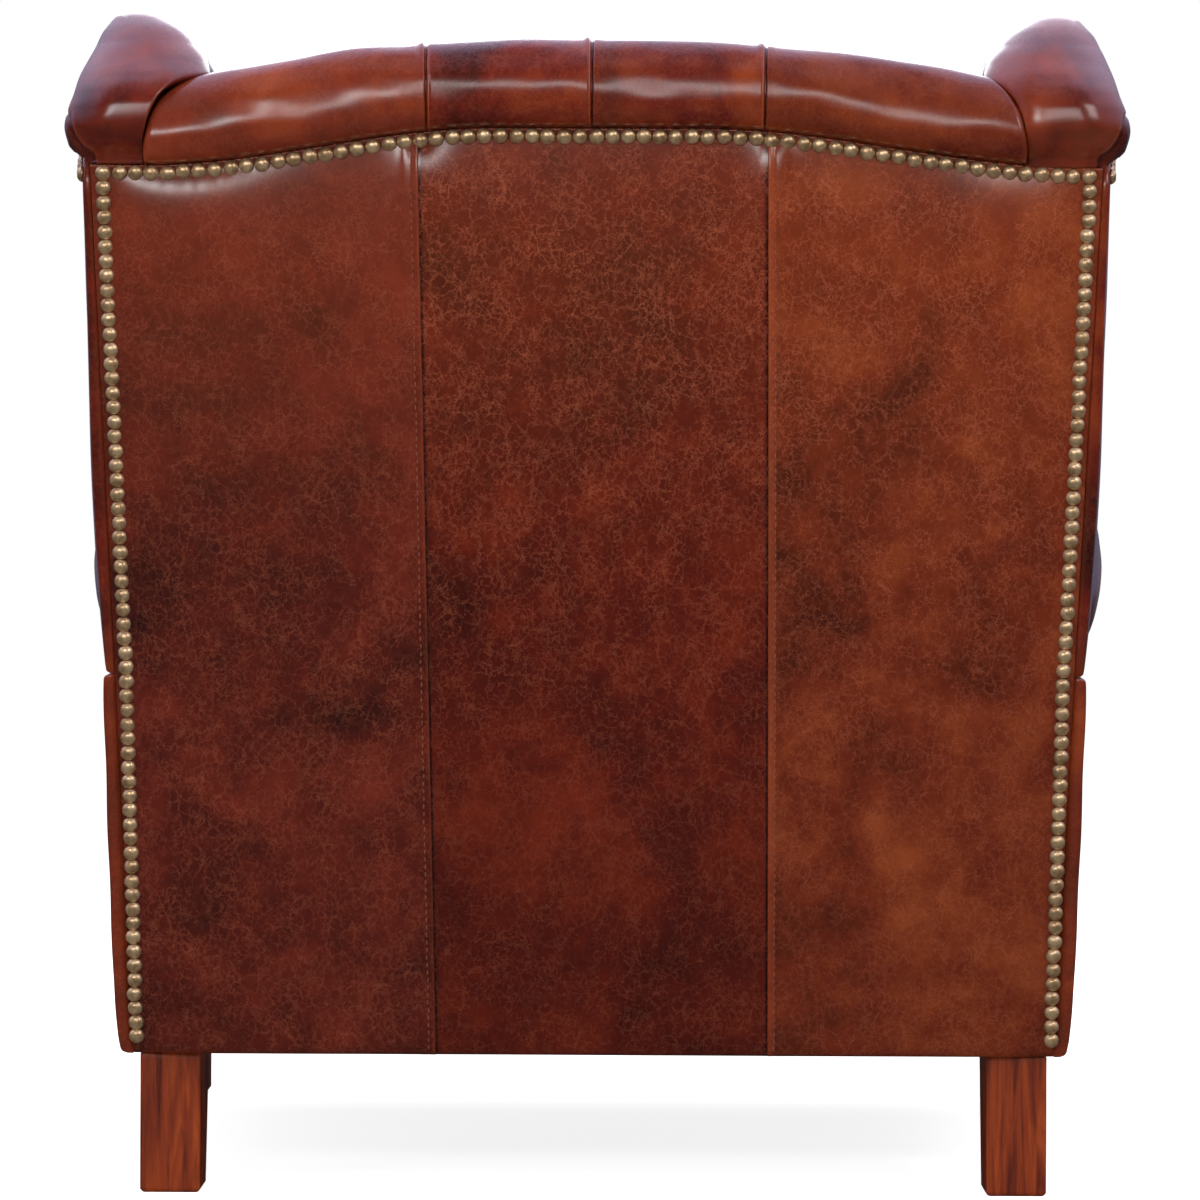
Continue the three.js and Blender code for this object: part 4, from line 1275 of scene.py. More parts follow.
def offset_line(points: np.ndarray, inset: float) -> np.ndarray:
    """A smooth line through the points, moved to its right-hand side.

    Args:
        points: places in a plane, shape (k, 2).
        inset: distance moved.

    Returns:
        The moved line, finely drawn.
    """
    line = rounded_path(points, 240)
    along = np.gradient(line, axis=0)
    along /= np.linalg.norm(along, axis=1, keepdims=True)
    return line + inset * np.stack([-along[:, 1], along[:, 0]], -1)


def outline_distance(points: np.ndarray, outline: np.ndarray) -> np.ndarray:
    """Signed distance to a closed outline: least distance to its segments, negative inside.

    Args:
        points: places, shape (n, 2).
        outline: corners, shape (k, 2).

    Returns:
        Distances, shape (n,).
    """
    a, b = outline, np.roll(outline, -1, 0)
    edge = b - a
    to = points[:, None] - a[None]
    share = np.clip((to * edge).sum(-1) / (edge ** 2).sum(-1), 0, 1)
    far = np.linalg.norm(to - share[..., None] * edge, axis=-1).min(1)
    y, z = points[:, :1], points[:, 1:]
    spans = (a[:, 1] > z) != (b[:, 1] > z)
    rise = np.where(edge[:, 1] == 0, 1, edge[:, 1])
    crossing = spans & (y < a[:, 0] + (z - a[:, 1]) * edge[:, 0] / rise)
    return np.where(crossing.sum(1) % 2 == 1, -far, far)


@dataclass
class CrestAndInsideBack:
    """One hide from the nails over the crest and down the tufted inside back."""

    hide: Material
    lines: BackLines = LINES
    roll_proud: float = 16.5
    roll_thick: float = 115.0
    back_foot: float = 121.0
    back_head: float = 234.0
    back_wide: float = 282.4
    crown: float = 18.0
    tuft_pitch: float = 120.0
    tuft_rise: float = 102.0
    tuft_top: float = 712.0
    tuft_depth: float = 16.0
    pleats: tuple = (119.7, 3.2, -118.8)
    lips: tuple = (-1, 1, 1)
    rear_shares: tuple = ((0.0, 0), (0.6, 0.04), (0.9, 0.12), (1, 0.26), (0.917, 0.45),
                          (0.675, 0.63), (0.29, 0.78), (-0.212, 0.9), (-0.797, 0.974))
    front_shares: tuple = ((0.204, 1), (0.38, 0.995), (0.56, 0.96), (0.74, 0.88), (0.87, 0.75))
    foot_wide: float = 267.4
    # Half width, then depth and height of each corner of the hide's hidden rear side
    hidden_half: float = 264.0
    hidden: tuple = ((251.0, 332.3), (251.0, 739.0), (253.7, 741.0), (253.7, 760.0))
    nailed_depth: float = 314.3

    def pillow(self, x: np.ndarray, z: np.ndarray) -> np.ndarray:
        """Diamond tufts: root of the product of two sines that run along the diagonals.

        Args:
            x: sideways places.
            z: heights.

        Returns:
            Fullness, 0 at the buttons and pleats and 1 in the middle of a diamond.
        """
        across = x / self.tuft_pitch
        down = np.clip((self.tuft_top - z) / self.tuft_rise, 0, 2) / 2
        product = np.sin(math.pi * (across + down)) * np.sin(math.pi * (across - down))
        return np.sqrt(np.abs(product))

    def front(self, x: np.ndarray, z: np.ndarray) -> np.ndarray:
        """Depth of the inside back's face: a leaning plane, crowned, drawn in at the tufts.

        Args:
            x: sideways places.
            z: heights.

        Returns:
            Depth y of the face.
        """
        climb = (z - self.lines.seat_level) / (self.lines.crest_height - self.lines.seat_level)
        swell = np.sin(math.pi * np.clip(climb, 0, 1)) * np.maximum(1 - (x / self.back_wide) ** 2, 0)
        near = 1 - smooth(np.abs(x), 1.6 * self.tuft_pitch, 2.1 * self.tuft_pitch)
        low = smooth(z, self.lines.seat_level, self.tuft_top - 2 * self.tuft_rise)
        sunk = self.tuft_depth * near * low * (1 - self.pillow(x, z))
        y = self.back_foot + (self.back_head - self.back_foot) * climb
        return y - self.crown * swell + sunk

    def roll(self, count: int) -> tuple[np.ndarray, np.ndarray]:
        """The crest's section: offset from the back's face and share of its height.

        Args:
            count: points along it.

        Returns:
            Offsets in millimetres and shares.
        """
        tall = 85.0
        rear = [(out * self.roll_proud, up * tall) for out, up in self.rear_shares]
        front = [(-deep * self.roll_thick, up * tall) for deep, up in self.front_shares]
        line = rounded_path(np.array(rear + front), count)
        return line[:, 0], line[:, 1] / tall

    def half_width(self, up: np.ndarray) -> np.ndarray:
        """Half width of each line of the roll, found in turns where its own end meets the seam.

        Args:
            up: shares of the roll's height.

        Returns:
            Half widths.
        """
        half = np.full_like(up, 300.0)
        for _ in range(5):
            foot = self.lines.nail_line(half) + self.lines.nail_lift + GAP
            z = foot + up * (self.lines.crest_line(half) - foot)
            half = self.lines.seam_half(z)
        return half

    def stations(self) -> np.ndarray:
        """Places across the back, close together at the pleats and at both ends.

        Returns:
            Shares of the half width, from -1 to 1.
        """
        coarse = np.linspace(-1, 1, 130)
        folds = [x / 300 + np.linspace(-14, 14, 57) / 300 for x in self.pleats]
        ends = np.array([0.972, 0.98, 0.987, 0.992, 0.996, 0.999])
        return np.unique(np.round(np.concatenate([coarse, *folds, ends, -ends]), 5))

    def fold(self, x: np.ndarray) -> tuple[np.ndarray, np.ndarray]:
        """Pleats of the crest: a narrow groove, a raised lip on one side, and a step in height.

        Args:
            x: sideways places.

        Returns:
            Fall of the face, and rise of the height.
        """
        fall, rise = np.zeros_like(x), np.zeros_like(x)
        for centre, lip in zip(self.pleats, self.lips):
            off = x - centre
            fall += 2.2 * bell(off, 0, 0.85) - 0.9 * bell(off, 1.7 * lip, 1.0) - 0.4 * bell(off, 0, 4)
            rise += 1.9 * bell(off, 3.2, 3.0) - 1.4 * bell(off, 0, 1.2) + 0.5 * bell(off, -3.5, 4)
        return fall, rise

    def grid(self) -> tuple[np.ndarray, np.ndarray]:
        """Rings round the back, one at each station, and the tone of each of their points.

        Returns:
            Square-drawn points, shape (stations, ring, 3), and tones, shape (stations, ring).
        """
        offset, up = self.roll(74)
        half = self.half_width(up)
        share = self.stations()[:, None]
        x = share * half + self.lines.crest_drift * share ** 2
        foot = self.lines.nail_line(x) + self.lines.nail_lift + GAP
        tall = self.lines.crest_line(x) - foot
        fall, rise = self.fold(x)
        deep = np.clip(-offset / self.roll_thick, 0, 1)
        y = self.lines.back_depth + offset - fall * (1 - 1.8 * deep) * smooth(up, 0.0, 0.1)
        z = foot + up * tall + rise * smooth(up, 0.55, 1.0)
        pts = np.stack([x, y, z], -1)
        soft = waves(pts, 120, 21, 3) * 1.5 + waves(pts * [0.5, 1, 1], 34, 22, 2) * 0.35
        rear = smooth(up, 0.02, 0.3) * (deep <= 0.3)
        y = y + soft * rear
        z = z + waves(pts, 90, 23, 2) * 1.1 * smooth(up, 0.5, 0.9)
        tuck = edge_round((1 - np.abs(share)) * half, 4.5)
        y = y - tuck * (1 - 1.5 * deep)
        z = z - 0.6 * tuck * smooth(up, 0.6, 1.0)
        roll = np.stack([x, y, z], -1)

        shoulder = (foot + 0.75 * tall)[:, -1:]
        down = (1 - close_set(1.0, 0.012, 0.0105, 0.05))[1:][None]
        level = self.lines.seat_level + (shoulder - self.lines.seat_level) * down
        wide = half[-1] + (self.back_wide - half[-1]) * smooth(-level, -770, -735)
        wide = wide + (self.foot_wide - self.back_wide) * smooth(-level, -590, -568)
        across = share * wide
        face = self.front(across, level)
        seam = y[:, -1:] - self.front(across[:, :1], level[:, :1])
        face = face + seam * np.exp(-(shoulder - level) / 22) + self.crease(across, level)
        face = face + edge_round((1 - np.abs(share)) * wide, 12.0)
        inside = np.stack([across, face, level], -1)

        hidden = []
        for depth, height in self.hidden:
            hidden.append(np.stack([share * self.hidden_half, np.full_like(share, depth),
                                    np.full_like(share, height)], -1))
        hidden.append(np.stack([x[:, :1], np.full_like(share, self.nailed_depth), foot[:, :1]], -1))
        points = np.concatenate([roll, inside, *hidden], axis=1)
        return points, self.tones(points)

    def crease(self, x: np.ndarray, z: np.ndarray) -> np.ndarray:
        """Pleats of the tufting: narrow grooves along the diagonals between the buttons.

        Args:
            x: sideways places.
            z: heights.

        Returns:
            Depths of the grooves.
        """
        across = x / self.tuft_pitch
        down = (self.tuft_top - z) / self.tuft_rise / 2
        groove = np.zeros_like(x)
        for lean in (1, -1):
            off = across + lean * down
            near = np.abs(off - np.round(off)) * self.tuft_pitch
            groove = np.maximum(groove, np.exp(-(near / 2.6) ** 2))
        inside = smooth(self.tuft_top - z, -8, 10) * smooth(z - self.tuft_top, -2.1 * self.tuft_rise,
                                                            -1.95 * self.tuft_rise)
        near = 1 - smooth(np.abs(x), 1.45 * self.tuft_pitch, 1.7 * self.tuft_pitch)
        return 2.2 * groove * inside * near

    def tones(self, points: np.ndarray) -> np.ndarray:
        """Tone of each crest segment between its pleats, darker beside the middle pleat, with a painted
        highlight on each pleat's lip and painted shade in its groove.

        Args:
            points: square-drawn points.

        Returns:
            Tones, -1 darker to 1 lighter.
        """
        x = points[..., 0]
        first, second, third = self.pleats
        tone = np.select([x > first, x > second, x > third], [0.22, -0.02, -0.10], -0.34)
        tone = tone - 0.40 * bell(x, second - 12, 11)
        # At each pleat: a painted highlight on its lip and a painted shadow in its groove
        for centre, lip in zip(self.pleats, self.lips):
            tone = tone + 0.8 * bell(x, centre + 1.5 * lip, 0.5) - 1.1 * bell(x, centre - 0.2 * lip, 0.7)
        return np.where(points[..., 1] > 200, tone, 0.0)

    def build(self) -> None:
        """Adds the hide."""
        points, tones = self.grid()
        piece = add_piece("crest_and_inside_back", wrapped(STANCE.place(points)), self.hide,
                          ("crest_roll", "inside_back"), tones=tones.ravel())


@dataclass
class BackButtons:
    """Ten covered buttons, sunk where the tufts meet."""

    hide: Material
    back: CrestAndInsideBack
    radius: float = 10.6
    thick: float = 7.0

    def build(self) -> None:
        """Adds the buttons: low domes with a pinched rim, facing the sitter."""
        turn = np.arange(28) * math.tau / 28
        profile = ((0.80, -0.3), (0.97, 0.05), (1.0, 0.30), (0.93, 0.56), (0.74, 0.80),
                   (0.48, 0.93), (0.22, 0.99))
        rings = np.stack([
            np.stack([r * np.cos(turn) * self.radius, np.full_like(turn, -up * self.thick),
                      r * np.sin(turn) * self.radius], -1)
            for r, up in profile
        ])
        number = 0
        for row in range(3):
            z = self.back.tuft_top - row * self.back.tuft_rise
            count = 3 + row % 2
            for i in range(count):
                number += 1
                x = (i - (count - 1) / 2) * self.back.tuft_pitch
                y = float(self.back.front(np.array(x), np.array(z)))
                node = f"back_button_{number:02d}"
                surface = wrapped(STANCE.place(rings + [x, y, z]))
                add_piece(node + "_cover", surface, self.hide, (node,))


@dataclass
class Wing:
    """One wing: a stuffed roll with a rounded nose behind and a flat outer side for its panel."""

    side: Side
    hide: Material
    inner: float = 283.0
    wide: float = 96.0
    round_: float = 36.0
    ledge: float = 768.1
    pad_back: float = 251.0
    # Share of the height, then of the depth in front and behind, then of the width inside and outside
    shares: tuple = (
        (0, 0.32, 1.04, 0, 0.82), (0.2, 0.29, 1.04, 0, 0.83), (0.3, 0.24, 1.03, 0, 0.86),
        (0.4, 0.16, 1.02, 0, 0.9), (0.524, 0.075, 1.01, 0, 0.94), (0.63, 0.022, 1.005, 0, 0.955),
        (0.7, 0, 1.006, 0, 0.92), (0.725, 0, 1.04, 0, 0.96), (0.756, 0.003, 1.058, 0, 0.985),
        (0.79, 0.01, 1.052, 0, 0.95), (0.82, 0.02, 1.035, -0.04, 0.9),
        (0.85, 0.035, 0.995, -0.11, 0.86), (0.887, 0.06, 0.93, -0.09, 0.8),
        (0.92, 0.1, 0.87, -0.02, 0.745), (0.945, 0.15, 0.82, 0.06, 0.7),
        (0.962, 0.2, 0.78, 0.145, 0.65), (0.981, 0.28, 0.72, 0.26, 0.59),
        (0.992, 0.36, 0.66, 0.34, 0.54), (1, 0.45, 0.6, 0.4, 0.48),
    )
    # Where the hide of the outer side is folded in behind the nose, as sideways place and height
    nose_fold: tuple = ((376, 810), (373, 805), (372.4, 796.8), (369.5, 787.7), (364.2, 780.4),
                        (357, 776), (356, 763), (396, 763), (396, 810))

    def rings(self) -> np.ndarray:
        """Rounded rectangles at rising heights, before anything is pressed into them.

        Returns:
            Square-drawn points, shape (heights, ring, 3).
        """
        table = np.array(self.shares)
        low = np.linspace(0, 0.68, 66)
        high = 0.688 + (1 - 0.688) * np.sin(np.linspace(0, 1, 104) * math.pi / 2)
        ledge = (self.ledge - LINES.wing_foot) / LINES.wing_tall - 1e-4
        share = np.concatenate([low, [ledge], high])
        front, rear, inner, outer = eased(table[:, 0], table[:, 1:], share).T
        z = LINES.wing_foot + share * LINES.wing_tall
        x0, x1 = self.inner + inner * self.wide, self.inner + outer * self.wide
        y0, y1 = (LINES.wing_front + deep * LINES.wing_depth for deep in (front, rear))
        y1 = np.where(z < self.ledge, np.minimum(y1, self.pad_back), y1)
        radius = np.minimum(self.round_, np.minimum(x1 - x0, y1 - y0) / 2.05)
        return rounded_rings((x0, x1, y0, y1), z, radius, 34, 12)

    def pressed(self, points: np.ndarray) -> np.ndarray:
        """Presses the panel's seat into the outer side and the crest's seam into the inner one.

        Args:
            points: square-drawn points of the plain form.

        Returns:
            The pressed points.
        """
        x, y, z = np.moveaxis(points, -1, 0)
        flat = outline_distance(np.stack([y.ravel(), z.ravel()], -1), WING_PANEL).reshape(y.shape)
        edge = np.sqrt(1 - (1 - np.clip(flat / 15.0, 0, 1)) ** 2)
        limit = np.where(flat <= 0, 358.9, 360.6 + 20.0 * edge)
        x = np.minimum(x, limit)
        seam = LINES.seam_half(z) + 0.4 + LINES.crest_drift * self.side.value
        pushed = smooth(y, 222, 236) * smooth(-z, -838, -822)
        x = x + np.maximum(seam - x, 0) * pushed
        return np.stack([x, y, z], -1)

    def build(self) -> None:
        """Adds the wing."""
        points = self.pressed(self.rings())
        normal = normals_of(points)
        mirrored = points * [self.side.value, 1, 1]
        amount = waves(mirrored, 150, 61, 2) * 0.9 + waves(mirrored, 45, 62, 2) * 0.12
        points = points + normal * (amount * smooth(points[..., 2], 500, 600))[..., None]
        fold = outline_distance(
            np.abs(points[..., ::2]).reshape(-1, 2), np.array(self.nose_fold)).reshape(amount.shape)
        behind = smooth(points[..., 1], 285, 297)
        points = points - normal * (1.5 * bell(fold, 0, 1.1) * behind)[..., None]
        points[..., 0] *= self.side.value
        node = f"wing_pad_{self.side.word}"
        tones = 0.12 + 0.2 * waves(mirrored, 60, 63, 2)
        # Along the fold behind the nose: a painted highlight on its lip, painted shade where the hide
        # folds in, and a painted shadow in the fold itself
        edge = 0.3 * bell(fold, 2.4, 1.1) - 0.25 * (fold < 0) - 0.9 * bell(fold, 0, 0.9)
        tones = tones + edge * behind
        piece = add_piece(node + "_leather", wrapped(STANCE.place(points)), self.hide,
                          (node,), tones=tones.ravel())


def rounded_rings(
    sides: tuple, z: np.ndarray, radius: np.ndarray, corner: int, straight: int,
) -> np.ndarray:
    """Rectangles with rounded corners, one at each height: a quarter circle joins two sides.

    Args:
        sides: least x, greatest x, least y and greatest y at each height, each of shape (n,).
        z: heights, shape (n,).
        radius: corner radius at each height, shape (n,).
        corner: points on each corner.
        straight: points on each side between two corners.

    Returns:
        Points, shape (n, 4 * (corner + straight), 3).
    """
    x0, x1, y0, y1 = sides
    rings = []
    centres = ((x1, y1, 1, 1), (x0, y1, -1, 1), (x0, y0, -1, -1), (x1, y0, 1, -1))
    arcs = []
    for quarter, (cx, cy, sx, sy) in enumerate(centres):
        turn = (quarter + np.linspace(0, 1, corner)) * math.pi / 2
        ax = (cx - sx * radius)[:, None] + radius[:, None] * np.cos(turn)
        ay = (cy - sy * radius)[:, None] + radius[:, None] * np.sin(turn)
        arcs.append(np.stack([ax, ay], -1))
    for quarter, arc in enumerate(arcs):
        after = arcs[(quarter + 1) % 4][:, :1]
        share = (np.arange(straight) + 1)[None, :, None] / (straight + 1)
        rings += [arc, arc[:, -1:] * (1 - share) + after * share]
    flat = np.concatenate(rings, axis=1)
    height = np.broadcast_to(z[:, None, None], flat.shape[:2] + (1,))
    return np.concatenate([flat, height], axis=-1)


def plate(outline: np.ndarray, centre: tuple, proud: float, radius: float, crown: float) -> np.ndarray:
    """A plate with a rounded edge over a star-shaped outline: rings that shrink to its centre.

    Args:
        outline: closed outline in a plane, shape (k, 2).
        centre: a point that sees the whole outline.
        proud: thickness.
        radius: radius of its edge.
        crown: further rise towards the middle.

    Returns:
        Plane coordinates and height above the base, shape (rings, k, 3).
    """
    arc = np.linspace(0, 1, 6) * math.pi / 2
    insets = [0.0, *(radius * (1 - np.cos(arc)))]
    heights = [0.0, *(proud - radius + radius * np.sin(arc))]
    inward = np.asarray(centre) - outline
    far = np.linalg.norm(inward, axis=1, keepdims=True)
    rings = [np.concatenate([outline + inward / far * inset, np.full_like(far, height)], 1)
             for inset, height in zip(insets, heights)]
    for share in np.concatenate([np.linspace(0.02, 0.12, 5), np.linspace(0.16, 0.97, 26)]):
        inset = radius + (far - radius) * share
        rise = proud + crown * (1 - np.exp(-inset / 45))
        rings.append(np.concatenate([outline + inward / far * inset, rise], 1))
    return np.stack(rings)


@dataclass
class OutsideSide:
    """Outer side of the chair: a wing panel above the arm, an arm panel below it."""

    side: Side
    hide: Material
    frame_outer: float = 359.6
    skin: float = 368.2
    front: float = -385.0
    # Stand of the arm panel's bulge at rising shares of its height
    bulge: tuple = ((0, 0.9), (0.05, 3.2), (0.14, 4.7), (0.3, 4.2), (0.6, 2.9), (0.85, 1.8),
                    (0.96, 0.7), (1, 0))

    def wing_panel(self) -> Surface:
        """The flat wing panel, slightly padded.

        Returns:
            Its surface, placed.
        """
        low, rear, tail = STANCE.tuck_height + 1.0, LINES.panel_rear, LINES.panel_tail
        outline = np.concatenate([
            [[rear, low]], [[rear, z] for z in np.arange(420, 755, 12)],
            rounded_path(np.concatenate([[[rear, 756.0], [316.0, 770.0]], WING_PANEL[2:12]]), 90),
            [[tail, z] for z in np.arange(575, 400, -12)], [[tail, low]],
            [[y, low] for y in np.arange(175, 320, 10)],
        ])
        rings = plate(outline, (240.0, 600.0), 5.4, 3.2, 2.2)
        y, z, up = np.moveaxis(rings, -1, 0)
        pts = np.stack([np.full_like(y, 360.0), y, z], -1)
        swell = 2.6 * bell(z, 540, 130) * smooth(up, 4.0, 6.5) + 2.2 * bell(z, 540, 130)
        x = (self.frame_outer + up + swell * smooth(up, 0, 5) + 0.5 * waves(pts, 140, 71, 2)
             * smooth(up, 5.4, 7)) * self.side.value
        return wrapped(STANCE.place(np.stack([x, y, z], -1)))

    def arm_panel(self) -> Surface:
        """The lower panel: its top edge folded under the arm, its foot tucked in to the frame.

        Returns:
            Its surface, placed.
        """
        low, top = LINES.body_bottom, STANCE.tuck_height
        tall, long = top - low, LINES.panel_rear - self.front
        v = close_set(tall, 1.0, 6.0, 16.0) / tall
        u = close_set(long, 1.0, 8.0, 20.0) / long
        z = (low + v * tall)[:, None] + np.zeros_like(u)
        y = (self.front + u * long) + np.zeros_like(z)
        pts = np.stack([np.full_like(y, 362.0), y, z], -1)
        up, out = np.array(self.bulge).T
        bulge = eased(low + up * tall, out, z[:, 0])[:, None]
        x = self.skin + bulge + 0.6 * waves(pts, 160, 73, 2)
        x = x - edge_round(top - z, 3.5) - edge_round(LINES.panel_rear - y, 3.0)
        x = x - edge_round(y - self.front, 3.0) - edge_round(z - low, 4.0)
        outer = np.stack([x, y, z], -1)
        inner = np.stack([np.full_like(x, self.frame_outer), y, z], -1)
        both = [part * [self.side.value, 1, 1] for part in (outer, inner)]
        return slab(STANCE.place(both[0]), STANCE.place(both[1]))

    def build(self) -> None:
        """Adds both panels."""
        for word, surface in (("wing", self.wing_panel()), ("arm", self.arm_panel())):
            node = f"outside_{word}_{self.side.word}"
            add_piece(node + "_leather", surface, self.hide, (node,))


@dataclass
class Arm:
    """A rolled arm: its pad, and the facing in front with a welt round its edge."""

    side: Side
    hide: Material
    inner: float = 268.0
    wide: float = 119.0
    top: float = 575.0
    front: float = -385.0
    tail: float = 165.0
    inner_shares: tuple = ((0.03, 0), (0.01, 0.2), (0, 0.42), (0.01, 0.62), (0.06, 0.78),
                           (0.18, 0.91), (0.34, 0.98))
    outer_shares: tuple = ((0.54, 1), (0.74, 0.934), (0.89, 0.761), (0.98, 0.549), (1, 0.39),
                           (0.985, 0.244), (0.92, 0.098))
    tail_shares: tuple = ((0, 1), (0.55, 1), (0.75, 0.97), (0.88, 0.88), (0.96, 0.76), (1, 0.62))
    hidden: float = 334.0
    least_out: float = 361.5
    facing_outer: float = 368.0
    facing_centre: tuple = (322.0, 470.0)
    facing_proud: float = 11.5
    welt_face: float = -389.5
    welt_radius: float = 2.6

    @property
    def tuck(self) -> float:
        """Height at which the pad is tucked in above the arm panel."""
        return STANCE.tuck_height + 3

    def section(self, count: int) -> np.ndarray:
        """Visible part of the section, from the deck inside, over the top, to the tuck outside.

        Args:
            count: points along it.

        Returns:
            Sideways places and heights, shape (count, 2).
        """
        points = []
        for low, shares in ((LINES.seat_level, self.inner_shares), (self.tuck, self.outer_shares)):
            points += [(self.inner + a * self.wide, low + up * (self.top - low)) for a, up in shares]
        points += [(self.inner + 0.82 * self.wide, self.tuck)]
        return rounded_path(np.array(points), count)

    def pad(self) -> Surface:
        """The roll along the arm, drawn in at its tail and softly wrinkled.

        Its tail narrows by a share of its reach past the hidden edge, and still covers the frame.

        Returns:
            Its surface, placed.
        """
        line = self.section(96)
        hidden = np.array([[self.hidden, self.tuck], [self.hidden, LINES.seat_level]])
        ring = np.concatenate([line, hidden])
        table = np.array(self.tail_shares)
        along = close_set(1.0, 0.004, 0.011, 0.05)
        drawn = eased(table[:, 0], table[:, 1], along)
        out = ring[:, 0] - self.hidden
        x = np.where(out > 0, self.hidden + out * drawn[:, None], ring[:, 0])
        x = np.maximum(x, np.minimum(ring[:, 0], self.least_out))
        y = self.front + along[:, None] * (self.tail - self.front) + np.zeros_like(x)
        z = ring[:, 1] + np.zeros_like(x)
        points = np.stack([x, y, z], -1)
        normal = normals_of(points)
        middle = np.array([330.0, 0, 470.0])
        flip = np.sign(((points - middle) * normal * [1, 0, 1]).sum(-1, keepdims=True))
        soft = waves(points, 150, 81, 3) * 1.6 + waves(points * [1, 0.6, 1], 40, 82, 2) * 0.4
        soft = soft * smooth(z, 340, 380) * smooth(y, self.front, self.front + 40)
        points = points + normal * flip * soft[..., None]
        points[:, len(line):] = np.stack([x, y, z], -1)[:, len(line):]
        return wrapped(STANCE.place(points * [self.side.value, 1, 1]))

    def facing_outline(self) -> np.ndarray:
        """Outline of the facing: the arm's section over an upright foot.

        Returns:
            Sideways places and heights, shape (n, 2).
        """
        body, outer = LINES.body_bottom, self.facing_outer
        section = self.section(90)[:-4]
        foot = self.inner + 0.03 * self.wide
        inner = [[foot, z] for z in np.arange(body + 12, LINES.seat_level, 12)]
        down = [[outer, z] for z in np.arange(386, body, -12)]
        across = [[x, body] for x in np.arange(outer, foot, -10)]
        return np.concatenate([inner, section, down, across])

    def facing(self) -> Surface:
        """The facing of the arm front: a plate with a rounded edge.

        Returns:
            Its surface, placed.
        """
        rings = plate(self.facing_outline(), self.facing_centre, self.facing_proud, 3.5, 2.0)
        x, z, up = np.moveaxis(rings, -1, 0)
        points = np.stack([x * self.side.value, self.front - 2 * GAP - up, z], -1)
        return wrapped(STANCE.place(points))

    def welt(self) -> Surface:
        """Leather-covered cord round the facing's edge, drawn in by a millimetre.

        Returns:
            Its surface, placed.
        """
        outline = rounded_path(self.facing_outline(), 260, closed=True)
        path = np.insert(outline, 1, self.welt_face, axis=1) * [self.side.value, 1, 1]
        centre = np.array([self.facing_centre[0] * self.side.value, self.welt_face, 420.0])
        inward = (centre - path) * [1, 0, 1]
        path = path + inward / np.linalg.norm(inward, axis=1, keepdims=True) * 1.0
        path[:, 2] = np.maximum(path[:, 2], LINES.body_bottom + 3)
        return tube(STANCE.place(path), self.welt_radius * MM)

    def build(self) -> None:
        """Adds the pad, the facing and its welt."""
        pad, front = (f"arm_{part}_{self.side.word}" for part in ("pad", "front"))
        piece = add_piece(pad + "_leather", self.pad(), self.hide, (pad,))
        add_piece(front + "_leather", self.facing(), self.hide, (front,))
        add_piece(front + "_welt", self.welt(), self.hide)


@dataclass
class FrontBorder:
    """The upholstered border under the cushion, between the arm fronts."""

    hide: Material
    half: float = 271.2
    face: float = -385.3
    thick: float = 18.0
    top: float = 331.5

    def build(self) -> None:
        """Adds the border: flat, with a soft rounded top edge."""
        low = LINES.body_bottom
        tall = self.top - low
        v = close_set(tall, 0.8, 6.0, 18.0) / tall
        u = np.linspace(0, 1, 90)
        z = (low + v * tall)[:, None] + np.zeros_like(u)
        x = (u * 2 - 1) * self.half + np.zeros_like(z)
        pts = np.stack([x, np.zeros_like(x), z], -1)
        soft = waves(pts, 140, 91, 3) * 0.9
        y = self.face - self.thick + edge_round(self.top - z, 9.0) + edge_round(z - low, 2.0)
        y = y + soft * np.minimum(smooth(z, low, 130), smooth(-z, -self.top, -310))
        y = y + edge_round(self.half - np.abs(x), 4.0)
        front = np.stack([x, y, z], -1)
        rear = np.stack([x, np.full_like(y, self.face), z], -1)
        surface = slab(STANCE.place(front), STANCE.place(rear))
        piece = add_piece("front_border_leather", surface, self.hide, ("front_border",))


@dataclass
class Leg:
    """A square wood leg that narrows in depth towards a chamfered sole."""

    node: str
    side: Side
    wood: Material
    inner: float
    back: float
    width: float
    top_depth: float
    sole_depth: float
    shoulder: float = 11.0
    edge: float = 1.8

    def build(self) -> None:
        """Adds the leg: rounded rectangles from its sole up into the frame."""
        heights = np.array([0, 0.4, 1.2, 2.6, 4, 12, 30, 50, 70, 88, 100, 104.6, 105.6, 105.7, 111.6])
        inset = np.array([2.6, 1.9, 1.0, *[0] * 9, 0.4, self.shoulder, self.shoulder])
        share = np.clip(heights / (LINES.body_bottom - GAP), 0, 1)
        deep = self.sole_depth + (self.top_depth - self.sole_depth) * share
        x0, x1 = self.inner + inset, self.inner + self.width - inset
        y0, y1 = self.back - deep + inset, self.back - inset
        radius = np.full_like(heights, self.edge)
        points = rounded_rings((x0, x1, y0, y1), heights, radius, 6, 4)
        worn = waves(points, 60, 17, 2) * 0.12
        points = points + np.stack([worn, worn * 0.5, worn * 0], -1)
        upright = wrapped((points + [0, STANCE.shift, 0]) * [self.side.value, 1, 1] * MM)
        node = f"{self.node}_{self.side.word}"
        add_piece(node + "_wood", upright, self.wood, (node,))


